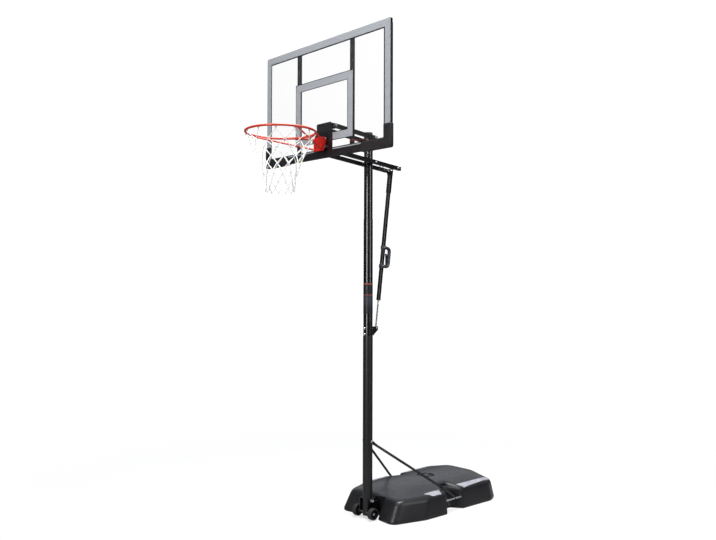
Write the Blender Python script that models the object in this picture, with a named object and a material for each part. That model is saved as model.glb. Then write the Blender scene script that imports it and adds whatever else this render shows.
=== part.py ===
"""Portable basketball stand: water-filled base, three-section pole, lift arms, board, rim and net.

Lengths are in metres. +Z is up, -Y is the playing side and +X is on the right of someone who
faces the board. Every piece is modelled around the pole's axis, and one empty then moves the
whole stand so that the origin lies under the middle of its bounding box.
"""

import math

import bmesh
import bpy
from mathutils import Matrix, Vector

# Fits
GAP = 0.0003                # between faces that touch
RUN = 0.0006                # around bolts, pins and sliding tubes
SIDE_PLAY = 0.0005          # beside parts that turn

# Height and board
RIM_HEIGHT = 2.754          # top setting but one, about nine feet
RIM_ABOVE_BOARD = 0.130     # rim plane above the board's lower edge
BOARD_WIDTH = 1.320
BOARD_HEIGHT = 0.838
BOARD_FRONT = -0.449        # playing face, from the pole's axis
SHEET_THICKNESS = 0.005
RAIL_WIDTH = 0.030
RAIL_DEPTH = 0.020
RAIL_WALL = 0.0015
UPRIGHT_SIZE = 0.025
UPRIGHT_OFFSET = 0.284
CHANNEL_HEIGHT = 0.048
CHANNEL_WALL = 0.0025
CHANNEL_DEPTH = 0.028
CHANNEL_BACK_LIP = 0.026
PAD_THICKNESS = 0.0055
PAD_SIDE = 0.0077
PAD_LEG_WIDTH = 0.065
PAD_LENGTH = 0.278
PAD_HEIGHT = 0.159
PAD_DEPTH = 0.033
PAD_BEVEL = 0.0025

# Rim and net
RING_INNER_DIAMETER = 0.4572
RING_WIRE = 0.016
RING_CENTRE_TO_BOARD = 0.381
RING_SEGMENTS = 48
RING_SIDES = 8
NET_LOOPS = 12
NET_LENGTH = 0.380
NET_ROWS = 8
NET_CORD = 0.0052
NET_END_RADIUS = 0.096
CLIP_WIDTH = 0.012
CLIP_DROP = 0.012
CLIP_THICKNESS = 0.004
RIM_PLATE_WIDTH = 0.100
RIM_PLATE_TOP = 0.046       # above the rim plane
RIM_PLATE_THICKNESS = 0.004
RIM_BOX_WIDTH = 0.090
RIM_BOX_DROP = 0.090        # below the rim plane
RIM_BOX_FRONT = 0.051       # in front of the board
RIM_SHEET = 0.0035
RIM_HINGE_OFFSET = 0.017    # in front of the board
RIM_PIN_RADIUS = 0.004
RIM_LUG = 0.004
RIM_STUD_RADIUS = 0.004
RIM_STUD_SPACING_X = 0.070
RIM_STUD_DROP = 0.062       # lower studs, under the rim plane
RIM_STUD_RISE = 0.030       # upper studs, over the rim plane
SPRING_RADIUS = 0.0095
SPRING_WIRE = 0.0022
SPRING_TURNS = 6
SPRING_OFFSET = 0.022
SPRING_DROP = 0.052
RIM_ARM_WIRE = 0.014
RIM_ARM_SPREAD = 38.0       # degrees from the ring's back point
BRACE_WIRE = 0.012
BRACE_TURN = 9.0            # degrees in front of the ring's side points

# Lift arms
ARM_TILT = math.radians(4.8)
ARM_FRONT_PIVOT = -0.400
ARM_OFFSET = 0.070
ARM_WIDTH = 0.025
ARM_HEIGHT = 0.028
ARM_WALL = 0.002
ARM_TAIL = 0.270            # lower arm, behind the pole pivot
ARM_END = 0.016             # tube past its last hole
LINK_HEIGHT = 0.180         # between the lower and upper pivots
STRUT_PIN_REACH = 0.2408    # behind the pole pivot, along the arm
LOWER_PIVOT_UNDER_RIM = 0.117
PIVOT_RADIUS = 0.005
BOSS_RADIUS = 0.010
EAR_OFFSET = 0.0535
EAR_THICKNESS = 0.003
EAR_RADIUS = 0.021
EAR_WAIST = 0.020
BRACKET_WIDTH = 0.150
BRACKET_PLATE = 0.004
BOLT_HEAD_RADIUS = 0.0095
BOLT_HEAD = 0.007
SPACER_RADIUS = 0.0098

# Lift strut
STRUT_FOOT_BEHIND = 0.0825
STRUT_FOOT_ABOVE_JOINT = 0.055
ROD_RADIUS = 0.006
ROD_LENGTH = 0.520
EYE_RADIUS = 0.011
EYE_WIDTH = 0.016
TUBE_SIZE = 0.025
TUBE_WALL = 0.0016
TUBE_START = 0.2192         # along the strut, from its foot pivot
COLLAR_HEIGHT = 0.008
COLLAR_SPIGOT = 0.020
SLEEVE_SIZE = 0.030
SLEEVE_LENGTH = 0.135
HEAD_BLOCK = 0.030
YOKE_INNER = 0.0143
YOKE_PLATE = 0.003
YOKE_MARGIN = 0.007
SLOT_REACH = 0.0925         # how far the cross pin runs towards the pole
SLOT_UNDER = 0.0092
SLOT_OVER = 0.0057

# Lift handle
HANDLE_CENTRE = 0.5445      # along the strut
HANDLE_LENGTH = 0.170
HANDLE_REACH = 0.080
HANDLE_WIDTH = 0.032
GRIP_DEPTH = 0.021
CLAMP_DEPTH = 0.0185
CLAMP_HEIGHT = 0.027
HANDLE_BEVEL = 0.005
TRIGGER_WIDTH = 0.013
TRIGGER_DEPTH = 0.0085
TRIGGER_LENGTH = 0.098
TRIGGER_LEAN = math.radians(-8.0)
TRIGGER_ROOT = 0.0055
TRIGGER_PIN_RADIUS = 0.002

# Pole
POLE_BOTTOM_RADIUS = 0.03675
POLE_WALL = 0.0015
POLE_FOOT = 0.020
FIRST_JOINT = 1.345
POLE_ABOVE_PIVOT = 0.043
TOP_SECTION = 0.640         # part of the top tube that shows
POLE_OVERLAP = 0.120
POLE_SEGMENTS = 24
POLE_CAP_HEIGHT = 0.006
POLE_CAP_PLUG = 0.018
LABEL_ABOVE_JOINT = 0.165
LABEL_HEIGHT = 0.232
LABEL_THICKNESS = 0.0005

# Strut bracket on the pole
STRUT_EAR = 0.003
STRUT_PLATE = 0.004
STRUT_BRACKET_HEIGHT = 0.067
STRUT_PIN_RADIUS = 0.004
CLAMP_BOLT_RADIUS = 0.004
CLAMP_BOLT_RISES = (0.056, 0.013)
NUT_RADIUS = 0.0070
NUT_HEIGHT = 0.007

# Base tank
BASE_REAR = 1.155           # rear end, behind the pole's axis
BASE_WIDTH = 0.728
LOBE_CORNER = 0.050
NOTCH_DEPTH = 0.102
NOTCH_START = 0.560
NOTCH_END = 0.640
NOTCH_CORNER = 0.018
NOTCH_SCOOP = 0.75          # how much deeper the notch is at the shoulder than on the ground
BASE_SHOULDER = 0.152
BASE_CREST = 0.204
RECESS_HALF_WIDTH = 0.107
RECESS_DEPTH = 0.0925
RECESS_CORNER = 0.015
CAP_CENTRE = 0.650
CAP_RADIUS = 0.064
CAP_PLUG_RADIUS = 0.045
CAP_WELL_DEPTH = 0.016
CAP_THICKNESS = 0.009
CAP_PLUG = 0.022
PLUG_CENTRES = (0.440, 1.056)
PLUG_RADIUS = 0.012
PLUG_STEM_RADIUS = 0.008
PLUG_STEM = 0.018
PLUG_HEAD = 0.004

# Foot, wheels and braces
CHEEK = 0.004
CHEEK_BOTTOM = 0.025
CHEEK_TOP = 0.145
CHEEK_FRONT = -0.042
BACK_PLATE_TOP = 0.122
FOOT_BOLT_HEIGHT = 0.128
FOOT_BOLT_RADIUS = 0.006
ANCHOR_HEIGHT = 0.085
ANCHOR_RADIUS = 0.004
ANCHOR_LENGTH = 0.045
AXLE_FORWARD = 0.024
AXLE_RADIUS = 0.006
WHEEL_RADIUS = 0.042
WHEEL_WIDTH = 0.028
WHEEL_OFFSET = 0.077
WHEEL_CLEAR = 0.003
HUB_RADIUS = 0.012
BRACE_RADIUS = 0.0095
BRACE_TAB = 0.004
BRACE_TAB_WIDTH = 0.026
BRACE_TOP = 0.565
BRACE_BOLT_RADIUS = 0.005
ANCHOR_ROD_INSET = 0.039    # from the side of the tank
ANCHOR_ROD_HEIGHT = 0.088
ANCHOR_ROD_RADIUS = 0.006
ANCHOR_ROD_START = 0.470
ANCHOR_ROD_END = 0.740
BRACE_FOOT = 0.615

# Places worked out from the sizes above
RIM_CENTRE_Y = BOARD_FRONT - RING_CENTRE_TO_BOARD
RING_RADIUS = (RING_INNER_DIAMETER + RING_WIRE) / 2
RIM_REACH = RIM_CENTRE_Y - RING_RADIUS - RING_WIRE / 2
BOARD_BOTTOM = RIM_HEIGHT - RIM_ABOVE_BOARD
BOARD_TOP = BOARD_BOTTOM + BOARD_HEIGHT
SHEET_BACK = BOARD_FRONT + SHEET_THICKNESS
LOWER_PIVOT = Vector((0, 0, RIM_HEIGHT - LOWER_PIVOT_UNDER_RIM))
UPPER_PIVOT = LOWER_PIVOT + Vector((0, 0, LINK_HEIGHT))
ARM_LENGTH = -ARM_FRONT_PIVOT / math.cos(ARM_TILT)
FRONT_RISE = -ARM_FRONT_PIVOT * math.tan(ARM_TILT)
FRONT_LOWER = LOWER_PIVOT + Vector((0, ARM_FRONT_PIVOT, FRONT_RISE))
FRONT_UPPER = FRONT_LOWER + Vector((0, 0, LINK_HEIGHT))
RIM_HINGE = Vector((0, BOARD_FRONT - RIM_HINGE_OFFSET, RIM_HEIGHT))
STRUT_FOOT = Vector((0, STRUT_FOOT_BEHIND, FIRST_JOINT + STRUT_FOOT_ABOVE_JOINT))
ARM_OUTER = ARM_OFFSET + ARM_WIDTH / 2
ARM_INNER = ARM_OFFSET - ARM_WIDTH / 2
STRUT_BRACKET_BOTTOM = FIRST_JOINT + SIDE_PLAY
STRUT_BRACKET_TOP = STRUT_BRACKET_BOTTOM + STRUT_BRACKET_HEIGHT
CLAMP_BOLT_HEIGHTS = [FIRST_JOINT + rise for rise in CLAMP_BOLT_RISES]
POLE_TOP = UPPER_PIVOT.z + POLE_ABOVE_PIVOT
SECOND_JOINT = POLE_TOP - TOP_SECTION
POLE_MIDDLE_RADIUS = POLE_BOTTOM_RADIUS - POLE_WALL - GAP
POLE_TOP_RADIUS = POLE_MIDDLE_RADIUS - POLE_WALL - GAP
WHEEL_AXIS = Vector((0, -AXLE_FORWARD, WHEEL_RADIUS + WHEEL_CLEAR))
CHEEK_INNER = POLE_BOTTOM_RADIUS + 2 * SIDE_PLAY
CHEEK_OUTER = CHEEK_INNER + CHEEK
BASE_CENTRE = BASE_REAR * 0.52
ANCHOR_ROD_OFFSET = BASE_WIDTH / 2 - ANCHOR_ROD_INSET
SHIFT = Vector((0, -(RIM_REACH + BASE_REAR) / 2, 0))

# Local frames: columns are the local X, Y and Z axes seen from the stand
ALONG_X = Matrix(((0, 0, 1, 0), (1, 0, 0, 0), (0, 1, 0, 0), (0, 0, 0, 1)))
ALONG_Y = Matrix(((1, 0, 0, 0), (0, 0, 1, 0), (0, 1, 0, 0), (0, 0, 0, 1)))
ALONG_Z = Matrix.Identity(4)


def arm_frame(pivot):
    """Local X across, local Y back along the arm, local Z up from it."""
    turn = Matrix.Rotation(-ARM_TILT, 4, 'X')
    return Matrix.Translation(pivot) @ turn


STRUT_PIN = arm_frame(LOWER_PIVOT) @ Vector((0, STRUT_PIN_REACH, 0))
STRUT_LEAN = math.atan2(STRUT_PIN.y - STRUT_FOOT.y, STRUT_PIN.z - STRUT_FOOT.z)
STRUT_LENGTH = (STRUT_PIN - STRUT_FOOT).length
STRUT = Matrix.Translation(STRUT_FOOT) @ Matrix.Rotation(-STRUT_LEAN, 4, 'X')

FINISHES = {
    # name: (red, green, blue), roughness, metallic
    'tank_black': ((0.045, 0.045, 0.048), 0.50, 0.0),
    'tube_black': ((0.010, 0.010, 0.012), 0.22, 0.3),
    'moulded_black': ((0.020, 0.020, 0.022), 0.45, 0.0),
    'zinc': ((0.72, 0.72, 0.74), 0.30, 1.0),
    'chrome': ((0.85, 0.85, 0.87), 0.08, 1.0),
    'rim_orange': ((0.80, 0.10, 0.03), 0.35, 0.0),
    'rim_red': ((0.70, 0.02, 0.015), 0.35, 0.0),
    'handle_blue': ((0.075, 0.095, 0.125), 0.45, 0.0),
    'clear_sheet': ((0.90, 0.93, 0.95), 0.05, 0.0),
    'net_white': ((0.90, 0.90, 0.88), 0.80, 0.0),
    'cap_white': ((0.80, 0.80, 0.80), 0.40, 0.0),
    'label_grey': ((0.10, 0.10, 0.11), 0.40, 0.0),
}


# Scene and bodies

def clear_scene():
    for old in list(bpy.data.objects):
        bpy.data.objects.remove(old, do_unlink=True)


class Body:
    """An empty on a joint's axis, with the place of that axis in the stand's own frame."""

    def __init__(self, name, pivot, parent=None):
        self.pivot = pivot
        self.empty = bpy.data.objects.new('pivot_' + name, None)
        self.empty.empty_display_size = 0.05
        if parent:
            self.empty.parent = parent.empty
            self.empty.location = pivot - parent.pivot
        else:
            self.empty.location = pivot + SHIFT
        bpy.context.scene.collection.objects.link(self.empty)


def make_material(piece, finish):
    colour, roughness, metallic = FINISHES[finish]
    material = bpy.data.materials.new(piece + '_' + finish)
    material.use_nodes = True
    shader = material.node_tree.nodes['Principled BSDF']
    shader.inputs['Base Color'].default_value = (*colour, 1)
    shader.inputs['Roughness'].default_value = roughness
    shader.inputs['Metallic'].default_value = metallic
    if finish == 'clear_sheet':
        shader.inputs['Transmission Weight'].default_value = 1
    material.diffuse_color = (*colour, 1)
    return material


def make_object(name, bm, body):
    bmesh.ops.recalc_face_normals(bm, faces=bm.faces)
    mesh = bpy.data.meshes.new(name)
    bm.to_mesh(mesh)
    bm.free()
    mesh.transform(Matrix.Translation(-body.pivot))
    mesh.shade_smooth()
    mesh.set_sharp_from_angle(angle=math.radians(32))
    made = bpy.data.objects.new(name, mesh)
    made.parent = body.empty
    bpy.context.scene.collection.objects.link(made)
    return made


def make_piece(name, bm, body, finish):
    piece = make_object(name, bm, body)
    piece.data.materials.append(make_material(name, finish))
    return piece


def combine(piece, body, operation, *shapes):
    """Cut shapes out of a piece, or join them to it, with one Boolean each."""
    for number, bm in enumerate(shapes, len(piece.modifiers) + 1):
        tool = make_object(f'{piece.name}_tool_{number}', bm, body)
        tool.hide_render = True
        tool.display_type = 'WIRE'
        step = piece.modifiers.new(f'{operation.lower()}_{number}', 'BOOLEAN')
        step.operation = operation
        step.solver = 'EXACT'
        step.object = tool
    return piece


def cut(piece, body, *shapes):
    return combine(piece, body, 'DIFFERENCE', *shapes)


def join(piece, body, *shapes):
    return combine(piece, body, 'UNION', *shapes)


def bevel(piece, width, segments=1, angle=40):
    step = piece.modifiers.new('bevel', 'BEVEL')
    step.width = width
    step.segments = segments
    step.limit_method = 'ANGLE'
    step.angle_limit = math.radians(angle)
    return piece


# Outlines

def rectangle(left, right, low, high):
    return [(left, low), (right, low), (right, high), (left, high)]


def centred(width, height):
    return rectangle(-width / 2, width / 2, -height / 2, height / 2)


def circle(radius, segments, centre=(0, 0), start=0.5):
    """Points on a circle. The first one lies half a step round unless start says otherwise."""
    turn = 2 * math.pi / segments
    return [(centre[0] + radius * math.cos(turn * (i + start)),
             centre[1] + radius * math.sin(turn * (i + start))) for i in range(segments)]


def rounded(points, radii, steps=4):
    """Round each corner of a polygon with an arc of its own radius."""
    outline = []
    for i, point in enumerate(points):
        corner = Vector(point)
        radius = radii[i] if isinstance(radii, (list, tuple)) else radii
        if radius == 0:
            outline.append(tuple(corner))
            continue
        before = (Vector(points[i - 1]) - corner).normalized()
        after = (Vector(points[(i + 1) % len(points)]) - corner).normalized()
        half = before.angle(after) / 2
        reach = radius / math.tan(half)
        centre = corner + (before + after).normalized() * radius / math.sin(half)
        start = corner + before * reach - centre
        end = corner + after * reach - centre
        sweep = start.angle_signed(end)
        for step in range(steps + 1):
            turned = start.copy()
            turned.rotate(Matrix.Rotation(-sweep * step / steps, 2))
            outline.append(tuple(centre + turned))
    return outline


# Solids

def loft(rings, start_point=None, end_point=None):
    """Skin a list of rings of points, closing each end with a face or a point."""
    bm = bmesh.new()
    loops = [[bm.verts.new(point) for point in ring] for ring in rings]
    count = len(loops[0])
    for lower, upper in zip(loops, loops[1:]):
        for i in range(count):
            j = (i + 1) % count
            bm.faces.new((lower[i], lower[j], upper[j], upper[i]))
    for loop, point in ((loops[0], start_point), (loops[-1], end_point)):
        if point is None:
            bm.faces.new(loop)
            continue
        tip = bm.verts.new(point)
        for i in range(count):
            bm.faces.new((loop[i], loop[(i + 1) % count], tip))
    return bm


def prism(outline, start, end, frame=ALONG_Z):
    """Extrude a flat outline between two heights of a local frame."""
    rings = [[frame @ Vector((u, v, height)) for u, v in outline] for height in (start, end)]
    return loft(rings)


def hollow_prism(outer, inner, start, end, frame=ALONG_Z):
    """A tube of any outline, open at both ends."""
    bm = bmesh.new()
    profile = [(outer, start), (outer, end), (inner, end), (inner, start)]
    loops = [[bm.verts.new(frame @ Vector((u, v, height))) for u, v in outline]
             for outline, height in profile]
    count = len(outer)
    for a, b in zip(loops, loops[1:] + loops[:1]):
        for i in range(count):
            j = (i + 1) % count
            bm.faces.new((a[i], a[j], b[j], b[i]))
    return bm


def turned(profile, segments, frame=ALONG_Z):
    """Turn a closed profile of (radius, height) points, which may start and end on the axis."""
    solid = profile[0][0] == 0 and profile[-1][0] == 0
    body = profile[1:-1] if solid else profile
    rings = [[frame @ Vector((u, v, height)) for u, v in circle(radius, segments)]
             for radius, height in body]
    if solid:
        tips = [frame @ Vector((0, 0, profile[k][1])) for k in (0, -1)]
        return loft(rings, *tips)
    bm = bmesh.new()
    loops = [[bm.verts.new(point) for point in ring] for ring in rings]
    for a, b in zip(loops, loops[1:] + loops[:1]):
        for i in range(segments):
            j = (i + 1) % segments
            bm.faces.new((a[i], a[j], b[j], b[i]))
    return bm


def bar(start, end, radius, segments=12):
    """A round bar between two points."""
    start = Vector(start)
    end = Vector(end)
    along = (end - start).normalized()
    frame = Matrix.Translation(start) @ along.to_track_quat('Z', 'Y').to_matrix().to_4x4()
    return prism(circle(radius, segments), 0, (end - start).length, frame)


def box(low, high):
    return prism(rectangle(low[0], high[0], low[1], high[1]), low[2], high[2])


def swept(path, radius, segments):
    """A round wire through the points of a path, with flat ends."""
    points = [Vector(point) for point in path]
    rings = []
    side = None
    for i, point in enumerate(points):
        ahead = points[min(i + 1, len(points) - 1)]
        behind = points[max(i - 1, 0)]
        along = (ahead - behind).normalized()
        if side is None:
            side = along.orthogonal().normalized()
        side = (side - along * side.dot(along)).normalized()
        other = along.cross(side)
        rings.append([point + radius * (side * u + other * v) for u, v in circle(1, segments)])
    return loft(rings)


def bolt_profile(radius, start, end, head_radius=BOLT_HEAD_RADIUS, head=BOLT_HEAD):
    """Shaft between two faces with a domed head on one end and a nut on the other."""
    edge = head_radius * 0.8
    return [(0, start - head), (edge, start - head), (head_radius, start - head * 0.6),
            (head_radius, start), (radius, start), (radius, end), (head_radius, end),
            (head_radius, end + head * 0.6), (edge, end + head), (0, end + head)]


def cross_bolt(name, body, centre, half_grip, radius, finish='zinc', **sizes):
    """A bolt along X, with its heads just outside what it holds."""
    frame = Matrix.Translation(centre) @ ALONG_X
    profile = bolt_profile(radius, -half_grip, half_grip, **sizes)
    return make_piece(name, turned(profile, 12, frame), body, finish)


def cross_hole(centre, radius, half_length, segments=12):
    frame = Matrix.Translation(centre) @ ALONG_X
    return prism(circle(radius, segments), -half_length, half_length, frame)


# Base

def base_outline(scoop=0.0):
    """The tank's outline, front centre first and anticlockwise; scoop deepens its side notches."""
    half = BASE_WIDTH / 2
    notch = half - NOTCH_DEPTH * (1 + NOTCH_SCOOP * scoop)
    right = [
        # x, y, corner radius
        (half * 0.735, -LOBE_CORNER * 0.36, LOBE_CORNER),               # tip of the front lobe
        (half * 0.97, BASE_REAR * 0.227, LOBE_CORNER * 1.8),            # its flank
        (half, NOTCH_START - NOTCH_DEPTH * 0.69, NOTCH_CORNER),         # notch
        (notch, NOTCH_START, NOTCH_CORNER * 1.6),
        (notch, NOTCH_END, NOTCH_CORNER * 1.6),
        (half * 0.96, NOTCH_END + NOTCH_DEPTH * 0.6, NOTCH_CORNER),
        (half, BASE_REAR * 0.90, LOBE_CORNER * 1.6),                    # flank of the rear lobe
        (half * 0.89, BASE_REAR - LOBE_CORNER * 0.4, LOBE_CORNER),      # rear corner
    ]
    front = [(0, LOBE_CORNER * 0.4, 0)]
    rear = [(0, BASE_REAR, 0)]
    left = [(-x, y, radius) for x, y, radius in reversed(right)]
    corners = front + right + rear + left
    return rounded([(x, y) for x, y, _ in corners], [radius for _, _, radius in corners], 3)


def dome_point(direction):
    """A point of the crown's outline in the same direction: round in front, squarer behind."""
    half_width = BASE_WIDTH * 0.46
    half_length, power = (BASE_REAR - BASE_CENTRE, 7.0) if direction.y > 0 else (BASE_CENTRE, 2.6)
    angle = math.atan2(direction.y / half_length, direction.x / half_width)
    u, v = math.cos(angle), math.sin(angle)
    scale = (abs(u) ** power + abs(v) ** power) ** (-1 / power)
    return Vector((half_width * u * scale, half_length * v * scale))


def tank_rings():
    """Rings of the tank's loft: upright sides, a flat shelf behind and a slope to the front."""
    shoulder, rise = BASE_SHOULDER, BASE_CREST - BASE_SHOULDER
    levels = [
        # height, share of the width, of the front length, of the rear length, crown, scoop
        (0.000, 0.985, 0.988, 0.985, 0.00, 0.00),
        (0.010, 1.000, 1.000, 1.000, 0.00, 0.00),
        (shoulder - 0.018, 0.945, 0.888, 0.955, 0.00, 0.85),
        (shoulder, 0.915, 0.858, 0.938, 0.00, 1.00),
        (shoulder + 0.10 * rise, 0.880, 0.825, 0.930, 0.05, 1.00),
        (shoulder + 0.25 * rise, 0.800, 0.765, 0.925, 0.30, 0.80),
        (shoulder + 0.48 * rise, 0.670, 0.660, 0.915, 0.65, 0.50),
        (shoulder + 0.74 * rise, 0.500, 0.490, 0.900, 0.90, 0.00),
        (shoulder + 0.92 * rise, 0.300, 0.300, 0.780, 1.00, 0.00),
        (shoulder + 0.99 * rise, 0.120, 0.130, 0.500, 1.00, 0.00),
    ]
    rings = []
    for height, across, ahead, behind, crown, scoop in levels:
        ring = []
        for corner in base_outline(scoop):
            point = Vector(corner) - Vector((0, BASE_CENTRE))
            mixed = point.lerp(dome_point(point), crown)
            along = behind if point.y > 0 else ahead
            ring.append(Vector((mixed.x * across, mixed.y * along + BASE_CENTRE, height)))
        rings.append(ring)
    return rings


def make_base(root, cap_body):
    crest = Vector((0, BASE_CENTRE, BASE_CREST))
    tank = make_piece('base_tank', loft(tank_rings(), end_point=crest), root, 'tank_black')
    recess = rounded(rectangle(-RECESS_HALF_WIDTH, RECESS_HALF_WIDTH, -RECESS_DEPTH, RECESS_DEPTH),
                     [0, 0, RECESS_CORNER, RECESS_CORNER])
    well_floor = BASE_CREST - CAP_WELL_DEPTH
    cap_frame = Matrix.Translation((0, CAP_CENTRE, well_floor))
    well = turned([(0, -CAP_PLUG - 0.004), (CAP_PLUG_RADIUS + RUN, -CAP_PLUG - 0.004),
                   (CAP_PLUG_RADIUS + RUN, 0), (CAP_RADIUS + 4 * RUN, 0),
                   (CAP_RADIUS + 4 * RUN, 0.04), (0, 0.04)], 24, cap_frame)
    cut(tank, root, prism(recess, -BASE_CREST, BASE_CREST * 2), well)
    cap = turned([(0, -CAP_PLUG), (CAP_PLUG_RADIUS - 0.002, -CAP_PLUG),
                  (CAP_PLUG_RADIUS, -CAP_PLUG + 0.004), (CAP_PLUG_RADIUS, GAP), (CAP_RADIUS, GAP),
                  (CAP_RADIUS, CAP_THICKNESS - 0.003), (CAP_RADIUS - 0.003, CAP_THICKNESS),
                  (CAP_RADIUS * 0.80, CAP_THICKNESS), (CAP_RADIUS * 0.76, CAP_THICKNESS - 0.003),
                  (0, CAP_THICKNESS - 0.003)], 24, cap_frame)
    fill_cap = make_piece('fill_cap', cap, cap_body, 'moulded_black')
    grip_outline = rounded(centred(CAP_RADIUS * 1.35, 0.014), 0.006, 3)
    grip = prism(grip_outline, CAP_THICKNESS - 0.005, CAP_THICKNESS + 0.003, cap_frame)
    join(fill_cap, cap_body, grip)
    for place, centre in zip(('front', 'rear'), PLUG_CENTRES):
        surface = tank_height(centre)
        frame = Matrix.Translation((0, centre, surface))
        seat = turned([(0, -PLUG_HEAD - PLUG_STEM - 0.002),
                       (PLUG_STEM_RADIUS + RUN, -PLUG_HEAD - PLUG_STEM - 0.002),
                       (PLUG_STEM_RADIUS + RUN, -PLUG_HEAD - GAP), (PLUG_RADIUS + RUN, -PLUG_HEAD - GAP),
                       (PLUG_RADIUS + RUN, 0.02), (0, 0.02)], 16, frame)
        cut(tank, root, seat)
        plug = turned([(0, -PLUG_HEAD - PLUG_STEM), (PLUG_STEM_RADIUS, -PLUG_HEAD - PLUG_STEM),
                       (PLUG_STEM_RADIUS, -PLUG_HEAD), (PLUG_RADIUS, -PLUG_HEAD),
                       (PLUG_RADIUS, -0.001), (PLUG_RADIUS - 0.002, 0.001), (0, 0.001)], 16, frame)
        make_piece('plug_' + place, plug, root, 'moulded_black')
    anchor_frame = Matrix.Translation((0, RECESS_DEPTH, ANCHOR_HEIGHT)) @ ALONG_Y
    cut(tank, root, prism(circle(ANCHOR_RADIUS + RUN, 12), -0.01, ANCHOR_LENGTH + 0.003, anchor_frame))
    for side in (-1, 1):
        rod_frame = Matrix.Translation((side * ANCHOR_ROD_OFFSET, 0, ANCHOR_ROD_HEIGHT)) @ ALONG_Y
        rod_hole = prism(circle(ANCHOR_ROD_RADIUS + RUN, 12), ANCHOR_ROD_START - 0.001,
                         ANCHOR_ROD_END + 0.001, rod_frame)
        cut(tank, root, rod_hole)
    return tank


def tank_height(along):
    """Height of the tank's top on its centre line, between the rings of its loft."""
    crossings = []
    for ring in tank_rings():
        reach = max(p.y for p in ring) if along > BASE_CENTRE else min(p.y for p in ring)
        crossings.append((abs(reach - BASE_CENTRE), ring[0].z))
    crossings.append((0, BASE_CREST))
    wanted = abs(along - BASE_CENTRE)
    for (far, low), (near, high) in zip(crossings, crossings[1:]):
        if near <= wanted <= far:
            return low + (high - low) * (far - wanted) / (far - near)
    return BASE_SHOULDER


# Foot, wheels and braces

def make_foot(root, wheels):
    inner, outer = CHEEK_INNER, CHEEK_OUTER
    back = RECESS_DEPTH - GAP
    outline = [(-outer, CHEEK_FRONT), (-inner, CHEEK_FRONT), (-inner, back - CHEEK), (inner, back - CHEEK),
               (inner, CHEEK_FRONT), (outer, CHEEK_FRONT), (outer, back), (-outer, back)]
    bracket = make_piece('foot_bracket', prism(outline, CHEEK_BOTTOM, CHEEK_TOP), root, 'tube_black')
    step_back = POLE_BOTTOM_RADIUS
    above = prism(rectangle(step_back, back + 0.02, BACK_PLATE_TOP, CHEEK_TOP + 0.01),
                  -outer - 0.01, outer + 0.01, ALONG_X)
    foot_bolt = Vector((0, 0, FOOT_BOLT_HEIGHT))
    cut(bracket, root, above,
        cross_hole(foot_bolt, FOOT_BOLT_RADIUS + RUN, outer + 0.02),
        cross_hole(WHEEL_AXIS, AXLE_RADIUS + RUN, outer + 0.02),
        prism(circle(ANCHOR_RADIUS + RUN, 12), back - 0.02, back + 0.02,
              Matrix.Translation((0, 0, ANCHOR_HEIGHT)) @ ALONG_Y))
    cross_bolt('foot_bolt', root, foot_bolt, outer + SIDE_PLAY, FOOT_BOLT_RADIUS,
               head_radius=0.011, head=0.022)
    anchor_start = back - CHEEK - SIDE_PLAY
    anchor = turned([(0, anchor_start - NUT_HEIGHT), (NUT_RADIUS, anchor_start - NUT_HEIGHT),
                     (NUT_RADIUS, anchor_start), (ANCHOR_RADIUS, anchor_start),
                     (ANCHOR_RADIUS, RECESS_DEPTH + ANCHOR_LENGTH), (0, RECESS_DEPTH + ANCHOR_LENGTH)],
                    12, Matrix.Translation((0, 0, ANCHOR_HEIGHT)) @ ALONG_Y)
    make_piece('foot_anchor_bolt', anchor, root, 'zinc')
    hub_end = WHEEL_OFFSET + WHEEL_WIDTH / 2 + 0.0015
    cross_bolt('wheel_axle', root, WHEEL_AXIS, hub_end + SIDE_PLAY, AXLE_RADIUS,
               head_radius=0.010, head=0.005)
    for side, body in wheels.items():
        make_wheel(side, body, hub_end)


def make_wheel(side, body, hub_end):
    bore = AXLE_RADIUS + RUN
    near = WHEEL_OFFSET - WHEEL_WIDTH / 2
    far = WHEEL_OFFSET + WHEEL_WIDTH / 2
    web_near, web_far = near + 0.009, far - 0.009
    rim = WHEEL_RADIUS - 0.0085
    profile = [(bore, CHEEK_OUTER + SIDE_PLAY), (HUB_RADIUS, CHEEK_OUTER + SIDE_PLAY),
               (HUB_RADIUS, web_near), (rim, web_near), (rim, near), (WHEEL_RADIUS - 0.0015, near),
               (WHEEL_RADIUS, near + 0.002), (WHEEL_RADIUS, far - 0.002), (WHEEL_RADIUS - 0.0015, far),
               (rim, far), (rim, web_far), (HUB_RADIUS, web_far), (HUB_RADIUS, hub_end), (bore, hub_end)]
    sign = 1 if side == 'right' else -1
    frame = Matrix.Translation(WHEEL_AXIS) @ ALONG_X @ Matrix.Diagonal((1, 1, sign, 1))
    return make_piece('wheel_' + side, turned(profile, 20, frame), body, 'moulded_black')


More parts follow.
